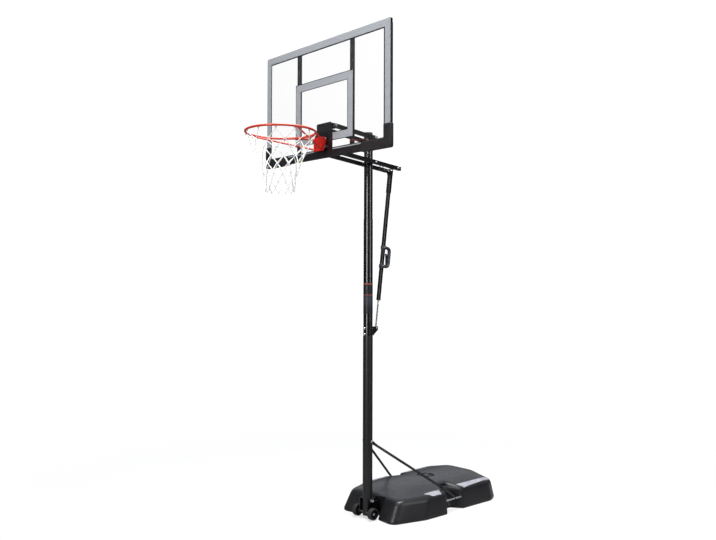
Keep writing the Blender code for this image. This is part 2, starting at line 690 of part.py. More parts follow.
def brace_rings(side):
    """Rings from the flat tab on the pole, through the round tube, to the flat tab on its rod."""
    tab = BRACE_TAB / 2
    wide = BRACE_TAB_WIDTH / 2
    pole_x = POLE_BOTTOM_RADIUS + SIDE_PLAY + tab
    top = Vector((pole_x, 0, BRACE_TOP))
    foot = Vector((ANCHOR_ROD_OFFSET, BRACE_FOOT, ANCHOR_ROD_HEIGHT))
    knee_top = top + Vector((0, 0.026, -0.020))
    knee_foot = foot + Vector((-0.012, -0.014, 0.034))
    along = (knee_foot - knee_top).normalized()
    tab_run = (knee_top - top).normalized()
    foot_run = Vector((foot.x - knee_foot.x, 0, foot.z - knee_foot.z)).normalized()
    across_x = Vector((1, 0, 0))
    across_y = Vector((0, 1, 0))

    def flat(point, thin_axis, run, width=wide):
        wide_axis = run.cross(thin_axis).normalized()
        return point, thin_axis * tab, wide_axis * width

    def tube(point, thin_axis, radius=BRACE_RADIUS):
        thin = (thin_axis - along * thin_axis.dot(along)).normalized()
        return point, thin * radius, along.cross(thin) * radius

    first = tube(knee_top + along * 0.030, across_x)
    last = tube(knee_foot - along * 0.030, across_y)
    twist = first[1].angle(last[1])
    if along.dot(first[1].cross(last[1])) < 0:
        twist = -twist
    sections = [flat(top - tab_run * wide, across_x, tab_run, wide * 0.6),
                flat(top - tab_run * wide * 0.5, across_x, tab_run),
                flat(top + tab_run * wide, across_x, tab_run)]
    spans = 4
    for step in range(spans + 1):
        share = step / spans
        turn = Matrix.Rotation(twist * share, 3, along)
        centre = first[0].lerp(last[0], share)
        sections.append((centre, turn @ first[1], turn @ first[2]))
    sections += [flat(foot - foot_run * wide, across_y, foot_run),
                 flat(foot + foot_run * wide * 0.5, across_y, foot_run),
                 flat(foot + foot_run * wide, across_y, foot_run, wide * 0.6)]
    mirror = Matrix.Diagonal((side, 1, 1))
    return [[mirror @ (centre + thin * u + broad * v) for u, v in circle(1, 12)]
            for centre, thin, broad in sections]


def make_braces(root):
    bolt_at = Vector((0, 0, BRACE_TOP))
    grip = POLE_BOTTOM_RADIUS + SIDE_PLAY + BRACE_TAB
    for side, name in ((-1, 'left'), (1, 'right')):
        brace = make_piece('brace_' + name, loft(brace_rings(side)), root, 'tube_black')
        rod_at = Vector((side * ANCHOR_ROD_OFFSET, 0, ANCHOR_ROD_HEIGHT))
        rod_frame = Matrix.Translation(rod_at) @ ALONG_Y
        hole = prism(circle(ANCHOR_ROD_RADIUS + RUN, 16), BRACE_FOOT - 0.02, BRACE_FOOT + 0.02, rod_frame)
        cut(brace, root, cross_hole(bolt_at, BRACE_BOLT_RADIUS + RUN, grip + 0.02), hole)
        nut_start = BRACE_FOOT + BRACE_TAB / 2 + SIDE_PLAY
        stop = BRACE_FOOT - BRACE_TAB / 2 - SIDE_PLAY
        rod = turned([(0, ANCHOR_ROD_START), (ANCHOR_ROD_RADIUS, ANCHOR_ROD_START),
                      (ANCHOR_ROD_RADIUS, stop - 0.005), (0.009, stop - 0.005), (0.009, stop),
                      (ANCHOR_ROD_RADIUS, stop), (ANCHOR_ROD_RADIUS, nut_start), (0.011, nut_start),
                      (0.011, nut_start + 0.009), (ANCHOR_ROD_RADIUS, nut_start + 0.009),
                      (ANCHOR_ROD_RADIUS, ANCHOR_ROD_END), (0, ANCHOR_ROD_END)], 12, rod_frame)
        make_piece('anchor_rod_' + name, rod, root, 'zinc')
    cross_bolt('brace_bolt', root, bolt_at, grip + SIDE_PLAY, BRACE_BOLT_RADIUS)


# Pole

def pole_tube(radius):
    return circle(radius, POLE_SEGMENTS), circle(radius - POLE_WALL, POLE_SEGMENTS)


def make_pole(root):
    bottom = make_piece('pole_bottom', hollow_prism(*pole_tube(POLE_BOTTOM_RADIUS), POLE_FOOT, FIRST_JOINT),
                        root, 'tube_black')
    through = POLE_BOTTOM_RADIUS + 0.02
    cut(bottom, root,
        cross_hole(Vector((0, 0, FOOT_BOLT_HEIGHT)), FOOT_BOLT_RADIUS + RUN, through),
        cross_hole(WHEEL_AXIS, AXLE_RADIUS + RUN, through),
        cross_hole(Vector((0, 0, BRACE_TOP)), BRACE_BOLT_RADIUS + RUN, through))
    middle = make_piece('pole_middle', hollow_prism(*pole_tube(POLE_MIDDLE_RADIUS),
                        FIRST_JOINT - POLE_OVERLAP, SECOND_JOINT), root, 'tube_black')
    for height in CLAMP_BOLT_HEIGHTS:
        frame = Matrix.Translation((0, 0, height)) @ ALONG_Y
        cut(middle, root, prism(circle(CLAMP_BOLT_RADIUS + RUN, 16), -0.06, 0.06, frame))
    top = make_piece('pole_top', hollow_prism(*pole_tube(POLE_TOP_RADIUS),
                     SECOND_JOINT - POLE_OVERLAP, POLE_TOP), root, 'tube_black')
    cut(top, root, cross_hole(LOWER_PIVOT, PIVOT_RADIUS + RUN, through),
        cross_hole(UPPER_PIVOT, PIVOT_RADIUS + RUN, through))
    inside = POLE_TOP_RADIUS - POLE_WALL - RUN
    cap_top = POLE_TOP + POLE_CAP_HEIGHT
    cap = turned([(0, POLE_TOP - POLE_CAP_PLUG), (inside, POLE_TOP - POLE_CAP_PLUG),
                  (inside, POLE_TOP + GAP), (POLE_TOP_RADIUS, POLE_TOP + GAP),
                  (POLE_TOP_RADIUS, cap_top - POLE_CAP_HEIGHT * 0.5),
                  (POLE_TOP_RADIUS * 0.86, cap_top), (0, cap_top)], POLE_SEGMENTS)
    make_piece('pole_cap', cap, root, 'moulded_black')
    label_inner = POLE_MIDDLE_RADIUS + GAP
    label_bottom = FIRST_JOINT + LABEL_ABOVE_JOINT
    label = hollow_prism(circle(label_inner + LABEL_THICKNESS, POLE_SEGMENTS),
                         circle(label_inner, POLE_SEGMENTS),
                         label_bottom, label_bottom + LABEL_HEIGHT)
    make_piece('pole_label', label, root, 'label_grey')
    grip = ARM_OUTER + SIDE_PLAY
    cross_bolt('lower_pivot_bolt', root, LOWER_PIVOT, grip, PIVOT_RADIUS)
    cross_bolt('upper_pivot_bolt', root, UPPER_PIVOT, grip, PIVOT_RADIUS)


def make_strut_bracket(root):
    """A folded channel on the back of the pole, with slanted ears for the strut's foot pin."""
    inner = EYE_WIDTH / 2 + SIDE_PLAY
    outer = inner + STRUT_EAR
    back = STRUT_FOOT.y + 0.013
    base = POLE_MIDDLE_RADIUS - 0.004
    outline = [(-outer, base), (outer, base), (outer, back), (inner, back),
               (inner, POLE_MIDDLE_RADIUS + STRUT_PLATE), (-inner, POLE_MIDDLE_RADIUS + STRUT_PLATE),
               (-inner, back), (-outer, back)]
    bracket = make_piece('strut_bracket', prism(outline, STRUT_BRACKET_BOTTOM, STRUT_BRACKET_TOP),
                         root, 'tube_black')
    lowest = STRUT_FOOT.z - 0.013
    slant_start = POLE_MIDDLE_RADIUS + 0.010
    below = STRUT_BRACKET_BOTTOM - 0.01
    slant = prism([(slant_start, below), (back + 0.02, below), (back + 0.02, lowest + 0.006),
                   (back, lowest), (slant_start, STRUT_BRACKET_BOTTOM)], -0.03, 0.03, ALONG_X)
    pole = prism(circle(POLE_MIDDLE_RADIUS + GAP, POLE_SEGMENTS), STRUT_BRACKET_BOTTOM - 0.1,
                 STRUT_BRACKET_TOP + 0.1)
    cut(bracket, root, pole, slant, cross_hole(STRUT_FOOT, STRUT_PIN_RADIUS + RUN, 0.03))
    front = -POLE_MIDDLE_RADIUS - SIDE_PLAY
    rear = POLE_MIDDLE_RADIUS + STRUT_PLATE + SIDE_PLAY
    for place, height in zip(('upper', 'lower'), CLAMP_BOLT_HEIGHTS):
        frame = Matrix.Translation((0, 0, height)) @ ALONG_Y
        cut(bracket, root, prism(circle(CLAMP_BOLT_RADIUS + RUN, 12), 0.02, 0.06, frame))
        head = BOLT_HEAD_RADIUS
        profile = [(0, front - 0.006), (head * 0.8, front - 0.006), (head, front - 0.003), (head, front),
                   (CLAMP_BOLT_RADIUS, front), (CLAMP_BOLT_RADIUS, rear), (NUT_RADIUS, rear),
                   (NUT_RADIUS, rear + NUT_HEIGHT), (CLAMP_BOLT_RADIUS, rear + NUT_HEIGHT),
                   (CLAMP_BOLT_RADIUS, rear + NUT_HEIGHT + 0.003), (0, rear + NUT_HEIGHT + 0.003)]
        make_piece('strut_bracket_bolt_' + place, turned(profile, 12, frame), root, 'zinc')
    cross_bolt('strut_foot_pin', root, STRUT_FOOT, outer + SIDE_PLAY, STRUT_PIN_RADIUS,
               head_radius=0.007, head=0.004)


# Lift arms

def make_arm(name, body, pivot, side, rear_end, holes):
    frame = arm_frame(pivot) @ ALONG_X
    near, far = sorted((side * ARM_INNER, side * ARM_OUTER))
    half = ARM_HEIGHT / 2
    front = -ARM_LENGTH - ARM_END
    outline = rounded(rectangle(front, rear_end, -half, half), [0.008, 0, 0, 0.008], 3)
    arm = make_piece(name, prism(outline, near, far, frame), body, 'tube_black')
    boss_reach = POLE_TOP_RADIUS + SIDE_PLAY
    boss_near, boss_far = sorted((side * boss_reach, side * (ARM_INNER + ARM_WALL / 2)))
    join(arm, body, prism(circle(BOSS_RADIUS, 12), boss_near, boss_far, frame))
    hollow = rectangle(front - 0.01, rear_end + 0.01, -half + ARM_WALL, half - ARM_WALL)
    cut(arm, body, prism(hollow, near + ARM_WALL, far - ARM_WALL, frame))
    for along in holes:
        hole = prism(circle(PIVOT_RADIUS + RUN, 12, (along, 0)), -ARM_OUTER - 0.01, ARM_OUTER + 0.01, frame)
        cut(arm, body, hole)
    return arm


def make_arms(lower, upper):
    for side, name in ((-1, 'left'), (1, 'right')):
        make_arm('lower_arm_' + name, lower, LOWER_PIVOT, side, ARM_TAIL,
                 (-ARM_LENGTH, 0, STRUT_PIN_REACH))
        make_arm('upper_arm_' + name, upper, UPPER_PIVOT, side, ARM_END, (-ARM_LENGTH, 0))
        frame = arm_frame(LOWER_PIVOT) @ Matrix.Translation((side * ARM_OFFSET, ARM_TAIL, 0)) @ ALONG_Y
        head = centred(ARM_WIDTH, ARM_HEIGHT)
        cap = make_piece('arm_cap_' + name, prism(rounded(head, 0.003, 2), GAP, 0.0045, frame),
                         lower, 'cap_white')
        spigot_width = ARM_WIDTH - 2 * ARM_WALL - 2 * RUN
        spigot_height = ARM_HEIGHT - 2 * ARM_WALL - 2 * RUN
        join(cap, lower, prism(centred(spigot_width, spigot_height), -0.012, 0.002, frame))
    cross_bolt('strut_cross_pin', lower, STRUT_PIN, ARM_OUTER + SIDE_PLAY, PIVOT_RADIUS)


# Board

def make_bracket(board):
    """Folded steel channel behind the board that carries the front ends of the four arms."""
    half = BRACKET_WIDTH / 2
    front = SHEET_BACK + GAP
    web = front + BRACKET_PLATE
    back = ARM_FRONT_PIVOT + EAR_RADIUS * 0.8
    inner = EAR_OFFSET
    outer = EAR_OFFSET + EAR_THICKNESS
    outline = [(-half, front), (half, front), (half, web), (outer, web), (outer, back), (inner, back),
               (inner, web), (-inner, web), (-inner, back), (-outer, back), (-outer, web), (-half, web)]
    bottom = BOARD_BOTTOM + CHANNEL_WALL + GAP
    top = FRONT_UPPER.z + EAR_RADIUS
    bracket = make_piece('board_bracket', prism(outline, bottom, top), board, 'tube_black')
    low_clear = BOARD_BOTTOM + CHANNEL_BACK_LIP + 0.002
    waist = ARM_FRONT_PIVOT - EAR_WAIST * 0.5
    lower_cut = rectangle(web + 0.004, back + 0.01, bottom - 0.01, low_clear)
    waist_cut = rectangle(waist, back + 0.02, FRONT_LOWER.z + EAR_RADIUS, FRONT_UPPER.z - EAR_RADIUS)
    middle_cut = rounded(waist_cut, [0.012, 0, 0, 0.012], 3)
    cut(bracket, board,
        prism(lower_cut, -half - 0.01, half + 0.01, ALONG_X),
        prism(middle_cut, -half - 0.01, half + 0.01, ALONG_X),
        cross_hole(FRONT_LOWER, PIVOT_RADIUS + RUN, outer + 0.02),
        cross_hole(FRONT_UPPER, PIVOT_RADIUS + RUN, outer + 0.02),
        *stud_holes(front - 0.01, web + 0.01))
    studs_wide = RIM_STUD_SPACING_X + 0.026
    studs_high = RIM_STUD_RISE + RIM_STUD_DROP + 0.026
    studs_middle = Matrix.Translation((0, 0, RIM_HEIGHT + (RIM_STUD_RISE - RIM_STUD_DROP) / 2))
    backing = prism(rounded(centred(studs_wide, studs_high), 0.006, 3), web + GAP, web + GAP + 0.003,
                    studs_middle @ ALONG_Y)
    plate = make_piece('rim_backing_plate', backing, board, 'zinc')
    cut(plate, board, *stud_holes(web - 0.01, web + 0.02))
    for name, place in (('front_lower_bolt', FRONT_LOWER), ('front_upper_bolt', FRONT_UPPER)):
        bolt = cross_bolt(name, board, place, ARM_OUTER + SIDE_PLAY, PIVOT_RADIUS)
        spacer = EAR_OFFSET - SIDE_PLAY
        join(bolt, board, cross_hole(place, SPACER_RADIUS, spacer))


def stud_places():
    return [(x * RIM_STUD_SPACING_X / 2, RIM_HEIGHT + z) for x in (-1, 1)
            for z in (-RIM_STUD_DROP, RIM_STUD_RISE)]


def stud_holes(start, end):
    return [prism(circle(RIM_STUD_RADIUS + RUN, 12), start, end, Matrix.Translation((x, 0, z)) @ ALONG_Y)
            for x, z in stud_places()]


def make_board(board):
    half = BOARD_WIDTH / 2
    floor = BOARD_BOTTOM + CHANNEL_WALL + GAP
    sheet = make_piece('backboard_sheet', prism(rounded(rectangle(-half, half, floor, BOARD_TOP),
                       [0, 0, 0.012, 0.012], 3), BOARD_FRONT, SHEET_BACK, ALONG_Y), board, 'clear_sheet')
    cut(sheet, board, *stud_holes(BOARD_FRONT - 0.01, SHEET_BACK + 0.01))
    rail_front = SHEET_BACK + GAP
    rail_back = rail_front + RAIL_DEPTH
    rail_bottom = BOARD_TOP - RAIL_WIDTH
    outer = rectangle(rail_front, rail_back, rail_bottom, BOARD_TOP)
    inner = rectangle(rail_front + RAIL_WALL, rail_back - RAIL_WALL,
                      rail_bottom + RAIL_WALL, BOARD_TOP - RAIL_WALL)
    top_rail = hollow_prism(outer, inner, -half + 0.004, half - 0.004, ALONG_X)
    make_piece('frame_top', top_rail, board, 'tube_black')
    make_channel(board, half)
    rail_floor = BOARD_BOTTOM + CHANNEL_HEIGHT + GAP
    for side, name in ((-1, 'left'), (1, 'right')):
        near, far = sorted((side * (half - RAIL_WIDTH), side * half))
        outer = rectangle(near, far, rail_front, rail_back)
        inner = rectangle(near + RAIL_WALL, far - RAIL_WALL, rail_front + RAIL_WALL, rail_back - RAIL_WALL)
        side_rail = hollow_prism(outer, inner, rail_floor, rail_bottom - GAP)
        make_piece('frame_' + name, side_rail, board, 'tube_black')
        left = side * UPRIGHT_OFFSET - UPRIGHT_SIZE / 2
        right = left + UPRIGHT_SIZE
        back = rail_front + UPRIGHT_SIZE
        outer = rectangle(left, right, rail_front, back)
        inner = rectangle(left + RAIL_WALL, right - RAIL_WALL, rail_front + RAIL_WALL, back - RAIL_WALL)
        upright = hollow_prism(outer, inner, rail_floor, rail_bottom - GAP)
        make_piece('upright_' + name, upright, board, 'tube_black')
        make_pad(board, side, name, half)


def make_channel(board, half):
    """Bottom channel: the sheet stands in it, its front lip is the black bar under the board."""
    wall = CHANNEL_WALL
    front = BOARD_FRONT - GAP - wall
    back = front + CHANNEL_DEPTH
    low = BOARD_BOTTOM
    outline = [(front, low), (back, low), (back, low + CHANNEL_BACK_LIP),
               (back - wall, low + CHANNEL_BACK_LIP), (back - wall, low + wall), (front + wall, low + wall),
               (front + wall, low + CHANNEL_HEIGHT), (front, low + CHANNEL_HEIGHT)]
    make_piece('frame_bottom', prism(outline, -half, half, ALONG_X), board, 'tube_black')


def make_pad(board, side, name, half):
    """Moulded corner pad: an L across the corner, with walls under and beside the frame."""
    channel_front = BOARD_FRONT - GAP - CHANNEL_WALL
    front = channel_front - GAP - PAD_THICKNESS
    back = front + PAD_DEPTH
    outer_x = half + GAP + PAD_SIDE
    low = BOARD_BOTTOM - GAP - PAD_SIDE
    inner_x = outer_x - PAD_LENGTH
    leg = PAD_LEG_WIDTH
    legs = [(inner_x, low), (outer_x, low), (outer_x, low + PAD_HEIGHT),
            (outer_x - leg, low + PAD_HEIGHT), (outer_x - leg, low + leg), (inner_x, low + leg)]
    shape = rounded(legs, [0.006, 0.014, 0.006, 0.006, 0.010, 0.006], 3)
    frame = Matrix.Diagonal((side, 1, 1, 1)) @ ALONG_Y
    pad = make_piece('pad_' + name, prism(shape, front, back, frame), board, 'moulded_black')
    bevel(pad, PAD_BEVEL)
    hollow = rectangle(inner_x - 0.05, half + GAP, BOARD_BOTTOM - GAP, low + PAD_HEIGHT + 0.05)
    cut(pad, board, prism(hollow, channel_front - GAP, back + 0.05, frame))


# Rim

def make_rim_mount(board):
    plate_bottom = BOARD_BOTTOM + CHANNEL_HEIGHT + 2 * GAP
    back = BOARD_FRONT - GAP
    front = back - RIM_PLATE_THICKNESS
    half = RIM_PLATE_WIDTH / 2
    plate = rectangle(-half, half, plate_bottom, RIM_HEIGHT + RIM_PLATE_TOP)
    outline = rounded(plate, [0, 0, 0.008, 0.008], 3)
    mount = make_piece('rim_mount', prism(outline, front, back, ALONG_Y), board, 'tube_black')
    lug_outer = RIM_BOX_WIDTH / 2 - RIM_SHEET - 2 * SIDE_PLAY
    lug = rounded(rectangle(RIM_HINGE.y - 0.009, front + 0.001, RIM_HEIGHT - 0.009, RIM_HEIGHT + 0.009),
                  [0.008, 0, 0, 0.008], 3)
    stud_end = SHEET_BACK + GAP + BRACKET_PLATE + 0.008
    for side in (-1, 1):
        start, end = sorted((side * (lug_outer - RIM_LUG), side * lug_outer))
        join(mount, board, prism(lug, start, end, ALONG_X))
    for x, z in stud_places():
        stud = Matrix.Translation((x, 0, z)) @ ALONG_Y
        join(mount, board, prism(circle(RIM_STUD_RADIUS, 12), front + 0.001, stud_end, stud))
    cut(mount, board, cross_hole(RIM_HINGE, RIM_PIN_RADIUS + RUN, half))
    cross_bolt('rim_hinge_pin', board, RIM_HINGE, RIM_BOX_WIDTH / 2 + SIDE_PLAY, RIM_PIN_RADIUS,
               head_radius=0.0065, head=0.0035)
    spring_height = RIM_HEIGHT - SPRING_DROP
    box_back = BOARD_FRONT - RIM_BOX_FRONT + RIM_SHEET
    for side, name in ((-1, 'left'), (1, 'right')):
        path = spring_path(side * SPRING_OFFSET, box_back + GAP, front - GAP, spring_height)
        make_piece('rim_spring_' + name, swept(path, SPRING_WIRE / 2, 5), board, 'zinc')


def spring_path(x, start, end, height):
    """A compression spring along Y, its end turns flat against what it presses on."""
    steps = 8
    wire = SPRING_WIRE / 2
    length = end - start - SPRING_WIRE
    pitch = length / (SPRING_TURNS - 1)
    points = []
    for i in range(SPRING_TURNS * steps + 1):
        turns = i / steps
        angle = 2 * math.pi * turns
        rise = min(max(turns - 0.5, 0), SPRING_TURNS - 1) * pitch
        points.append((x + SPRING_RADIUS * math.cos(angle), start + wire + rise,
                       height + SPRING_RADIUS * math.sin(angle)))
    gap = pitch / 2 - SPRING_WIRE
    print(f'rim spring: gap between turns at its ends {gap * 1000:.2f} mm')
    return points


def make_rim(rim):
    ring = bmesh.new()
    circle_points = circle(1, RING_SEGMENTS, start=0)
    wire = RING_WIRE / 2
    loops = []
    for u, v in circle_points:
        centre = Vector((0, RIM_CENTRE_Y, RIM_HEIGHT))
        outward = Vector((v, -u, 0))
        loops.append([ring.verts.new(centre + outward * (RING_RADIUS + wire * a) + Vector((0, 0, wire * b)))
                      for a, b in circle(1, RING_SIDES, start=0)])
    for a, b in zip(loops, loops[1:] + loops[:1]):
        for i in range(RING_SIDES):
            j = (i + 1) % RING_SIDES
            ring.faces.new((a[i], a[j], b[j], b[i]))
    ring_piece = make_piece('rim_ring', ring, rim, 'rim_orange')
    clips = []
    for number in range(NET_LOOPS):
        angle = math.radians(360 / NET_LOOPS * (number + 0.5))
        frame = Matrix.Translation((0, RIM_CENTRE_Y, RIM_HEIGHT)) @ Matrix.Rotation(angle, 4, 'Z')
        frame = frame @ Matrix.Translation((RING_RADIUS, 0, 0))
        outline = rounded(rectangle(-CLIP_WIDTH / 2, CLIP_WIDTH / 2, -wire - CLIP_DROP, -wire / 2),
                          [0.004, 0.004, 0, 0], 1)
        clips.append(prism(outline, -CLIP_THICKNESS / 2, CLIP_THICKNESS / 2, frame @ ALONG_X))
    join(ring_piece, rim, *clips)
    front = BOARD_FRONT - RIM_BOX_FRONT
    inner = RIM_BOX_WIDTH / 2 - 0.012
    for side in (-1, 1):
        spread = math.radians(RIM_ARM_SPREAD)
        start = Vector((side * inner, front + 0.010, RIM_HEIGHT - 0.002))
        end = Vector((side * RING_RADIUS * math.sin(spread), RIM_CENTRE_Y + RING_RADIUS * math.cos(spread),
                      RIM_HEIGHT))
        turn = math.radians(BRACE_TURN)
        lower_start = Vector((side * inner, front + 0.010, RIM_HEIGHT - RIM_BOX_DROP + 0.012))
        side_point = Vector((side * RING_RADIUS * math.cos(turn),
                             RIM_CENTRE_Y - RING_RADIUS * math.sin(turn), RIM_HEIGHT - RING_WIRE / 2))
        join(ring_piece, rim, bar(start, end, RIM_ARM_WIRE / 2, 8),
             bar(lower_start, side_point, BRACE_WIRE / 2, 8))
    cut(ring_piece, rim, box((-0.1, front - GAP, RIM_HEIGHT - 0.2), (0.1, front + 0.2, RIM_HEIGHT + 0.2)))
    make_rim_bracket(rim, front)


def make_rim_bracket(rim, front):
    """Red breakaway housing: a front plate and two cheeks that hinge on the mount's lugs."""
    half = RIM_BOX_WIDTH / 2
    sheet = RIM_SHEET
    low = RIM_HEIGHT - RIM_BOX_DROP
    inner = half - sheet
    cheek_top = RIM_HEIGHT + 0.009
    plate_clear = BOARD_FRONT - GAP - RIM_PLATE_THICKNESS - 0.004
    cheek = [(front, low), (plate_clear - 0.027, low), (plate_clear, RIM_HEIGHT - 0.011),
             (plate_clear, RIM_HEIGHT + 0.003), (RIM_HINGE.y - 0.004, cheek_top), (front, cheek_top)]
    bracket = make_piece('rim_bracket', prism(cheek, -half, half, ALONG_X), rim, 'rim_red')
    hollow = rectangle(front + sheet, plate_clear + 0.05, low - 0.05, cheek_top + 0.05)
    cut(bracket, rim, prism(hollow, -inner, inner, ALONG_X),
        cross_hole(RIM_HINGE, RIM_PIN_RADIUS + RUN, half + 0.02))


def net_radius(share):
    """The net's taper: steep under the ring, then nearly straight down."""
    return NET_END_RADIUS + (RING_RADIUS - NET_END_RADIUS) * (1 - share) ** 1.7


def make_net(rim):
    """Diamond mesh of cord, hung from the clips under the ring."""
    top = RIM_HEIGHT - RING_WIRE / 2 - CLIP_DROP - GAP - NET_CORD / 2
    bm = bmesh.new()
    rows = []
    for row in range(NET_ROWS):
        share = row / (NET_ROWS - 1)
        radius = net_radius(share)
        height = top - NET_LENGTH * share
        turn = 2 * math.pi / NET_LOOPS
        rows.append([bm.verts.new((radius * math.cos(turn * (i + 0.5 + row / 2)),
                                   RIM_CENTRE_Y + radius * math.sin(turn * (i + 0.5 + row / 2)), height))
                     for i in range(NET_LOOPS)])
    for row in range(NET_ROWS - 2):
        upper, middle, lower = rows[row], rows[row + 1], rows[row + 2]
        for i in range(NET_LOOPS):
            # the lower rows are turned half a loop each, so the last index slips back by one
            bm.faces.new((upper[i], middle[i - 1], lower[i - 1], middle[i]))
    net = make_piece('net', bm, rim, 'net_white')
    step = net.modifiers.new('cords', 'WIREFRAME')
    step.thickness = NET_CORD
    step.use_replace = True
    step.use_boundary = True
    step.use_even_offset = False
    step.offset = 0
    return net


# Lift strut

def make_strut(root, tube_body, trigger_body):
    shaft = prism(circle(ROD_RADIUS, 16), EYE_RADIUS * 0.5, ROD_LENGTH, STRUT)
    rod = make_piece('strut_rod', shaft, root, 'chrome')
    eye_frame = STRUT @ ALONG_X
    join(rod, root, prism(circle(EYE_RADIUS, 16), -EYE_WIDTH / 2, EYE_WIDTH / 2, eye_frame))
    cut(rod, root, prism(circle(STRUT_PIN_RADIUS + RUN, 12), -EYE_WIDTH, EYE_WIDTH, eye_frame))
    sleeve_start = STRUT_LENGTH - SLOT_UNDER - PIVOT_RADIUS - YOKE_MARGIN - HEAD_BLOCK - SLEEVE_LENGTH
    block_start = sleeve_start + SLEEVE_LENGTH
    tube_end = block_start - RUN
    bore = TUBE_SIZE - 2 * TUBE_WALL
    corner = 0.003
    make_piece('strut_tube', hollow_prism(rounded(centred(TUBE_SIZE, TUBE_SIZE), corner, 2),
               rounded(centred(bore, bore), corner - TUBE_WALL, 2), TUBE_START, tube_end, STRUT),
               tube_body, 'tube_black')
    make_collar(tube_body, bore)
    make_head(tube_body, sleeve_start, block_start)
    make_handle(tube_body, trigger_body)


def make_collar(body, bore):
    """Guide bush in the mouth of the outer tube, which the rod slides through."""
    top = TUBE_START - GAP
    flange = rounded(centred(TUBE_SIZE + 0.001, TUBE_SIZE + 0.001), 0.003, 2)
    collar = make_piece('strut_collar', prism(flange, top - COLLAR_HEIGHT, top, STRUT), body,
                        'moulded_black')
    fit = bore - 2 * GAP
    spigot = rounded(centred(fit, fit), 0.0012, 2)
    join(collar, body, prism(spigot, top - 0.001, top + COLLAR_SPIGOT, STRUT))
    cut(collar, body, prism(circle(ROD_RADIUS + RUN, 16), top - 0.02, top + COLLAR_SPIGOT + 0.01, STRUT))


def make_head(body, sleeve_start, block_start):
    """Sleeve and block on the outer tube, with two plates whose slot takes the arms' cross pin."""
    half = SLEEVE_SIZE / 2
    sleeve = rounded(centred(SLEEVE_SIZE, SLEEVE_SIZE), 0.003, 2)
    head = make_piece('strut_head', prism(sleeve, sleeve_start, block_start + HEAD_BLOCK * 0.75, STRUT),
                      body, 'tube_black')
    inside = TUBE_SIZE + 2 * GAP
    cut(head, body, prism(rounded(centred(inside, inside), 0.003, 2), sleeve_start - 0.01,
                          block_start, STRUT))
    slot_half = PIVOT_RADIUS + GAP
    low = STRUT_LENGTH - SLOT_UNDER - slot_half
    high = STRUT_LENGTH + SLOT_OVER + slot_half
    near = -SLOT_REACH - slot_half
    far = slot_half
    right = far + YOKE_MARGIN
    left = near - YOKE_MARGIN
    bottom = low - YOKE_MARGIN
    top = high + YOKE_MARGIN
    plate = rounded([(left, bottom), (-half - 0.010, bottom), (-half + 0.002, block_start),
                     (right, block_start), (right, top), (left, top)],
                    [0.014, 0.008, 0.002, 0.002, 0.014, 0.014], 2)
    slot = rounded(rectangle(near, far, low, high), slot_half * 0.98, 3)
    across = STRUT @ ALONG_X
    for side in (-1, 1):
        start, end = sorted((side * YOKE_INNER, side * (YOKE_INNER + YOKE_PLATE)))
        join(head, body, prism(plate, start, end, across))
    cut(head, body, prism(slot, -half - 0.01, half + 0.01, across))


def handle_point(out, along):
    return (out, HANDLE_CENTRE + along)


def make_handle(body, trigger_body):
    """D-shaped grip on two clamps, and the trigger lever inside it."""
    half = HANDLE_LENGTH / 2
    across = STRUT @ ALONG_X
    wide = HANDLE_WIDTH / 2
    outline = rounded([handle_point(-CLAMP_DEPTH, -half), handle_point(HANDLE_REACH * 0.72, -half),
                       handle_point(HANDLE_REACH, -half * 0.62), handle_point(HANDLE_REACH, half * 0.62),
                       handle_point(HANDLE_REACH * 0.72, half), handle_point(-CLAMP_DEPTH, half)],
                      [0.006, 0.016, 0.020, 0.020, 0.016, 0.006], 3)
    handle = make_piece('lift_handle', prism(outline, -wide, wide, across), body, 'handle_blue')
    window_half = half - CLAMP_HEIGHT
    window = rounded([handle_point(-CLAMP_DEPTH - 0.02, -window_half),
                      handle_point(HANDLE_REACH - GRIP_DEPTH, -window_half),
                      handle_point(HANDLE_REACH - GRIP_DEPTH, window_half),
                      handle_point(-CLAMP_DEPTH - 0.02, window_half)], [0, 0.012, 0.012, 0], 3)
    inside = TUBE_SIZE + 2 * GAP
    square = rounded(centred(inside, inside), 0.003, 2)
    cut(handle, body, prism(window, -wide - 0.01, wide + 0.01, across))
    bevel(handle, HANDLE_BEVEL)
    cut(handle, body, prism(square, HANDLE_CENTRE - half - 0.01, HANDLE_CENTRE + half + 0.01, STRUT))
    root_out, root_along = trigger_root()
    pocket_half = TRIGGER_WIDTH / 2 + SIDE_PLAY
    reach = TRIGGER_ROOT + 0.0012
    pocket = rounded([(root_out - reach, root_along - reach), (root_out + reach, root_along - reach),
                      (root_out + reach, HANDLE_CENTRE), (root_out - reach, HANDLE_CENTRE)],
                     [0.004, 0.004, 0, 0], 2)
    pin_at = (root_out, root_along)
    pin_hole = prism(circle(TRIGGER_PIN_RADIUS + GAP, 10, pin_at), -wide - 0.01, wide + 0.01, across)
    cut(handle, body, prism(pocket, -pocket_half, pocket_half, across), pin_hole)
    make_trigger(trigger_body, across)
    pin = prism(circle(TRIGGER_PIN_RADIUS, 10, pin_at), -wide + 0.001, wide - 0.001, across)
    make_piece('trigger_pin', pin, body, 'zinc')


def trigger_root():
    """The trigger's pivot, in the strut's frame: distance out, distance along."""
    return handle_point(HANDLE_REACH - GRIP_DEPTH - TRIGGER_DEPTH, -HANDLE_LENGTH / 2 + CLAMP_HEIGHT * 0.55)


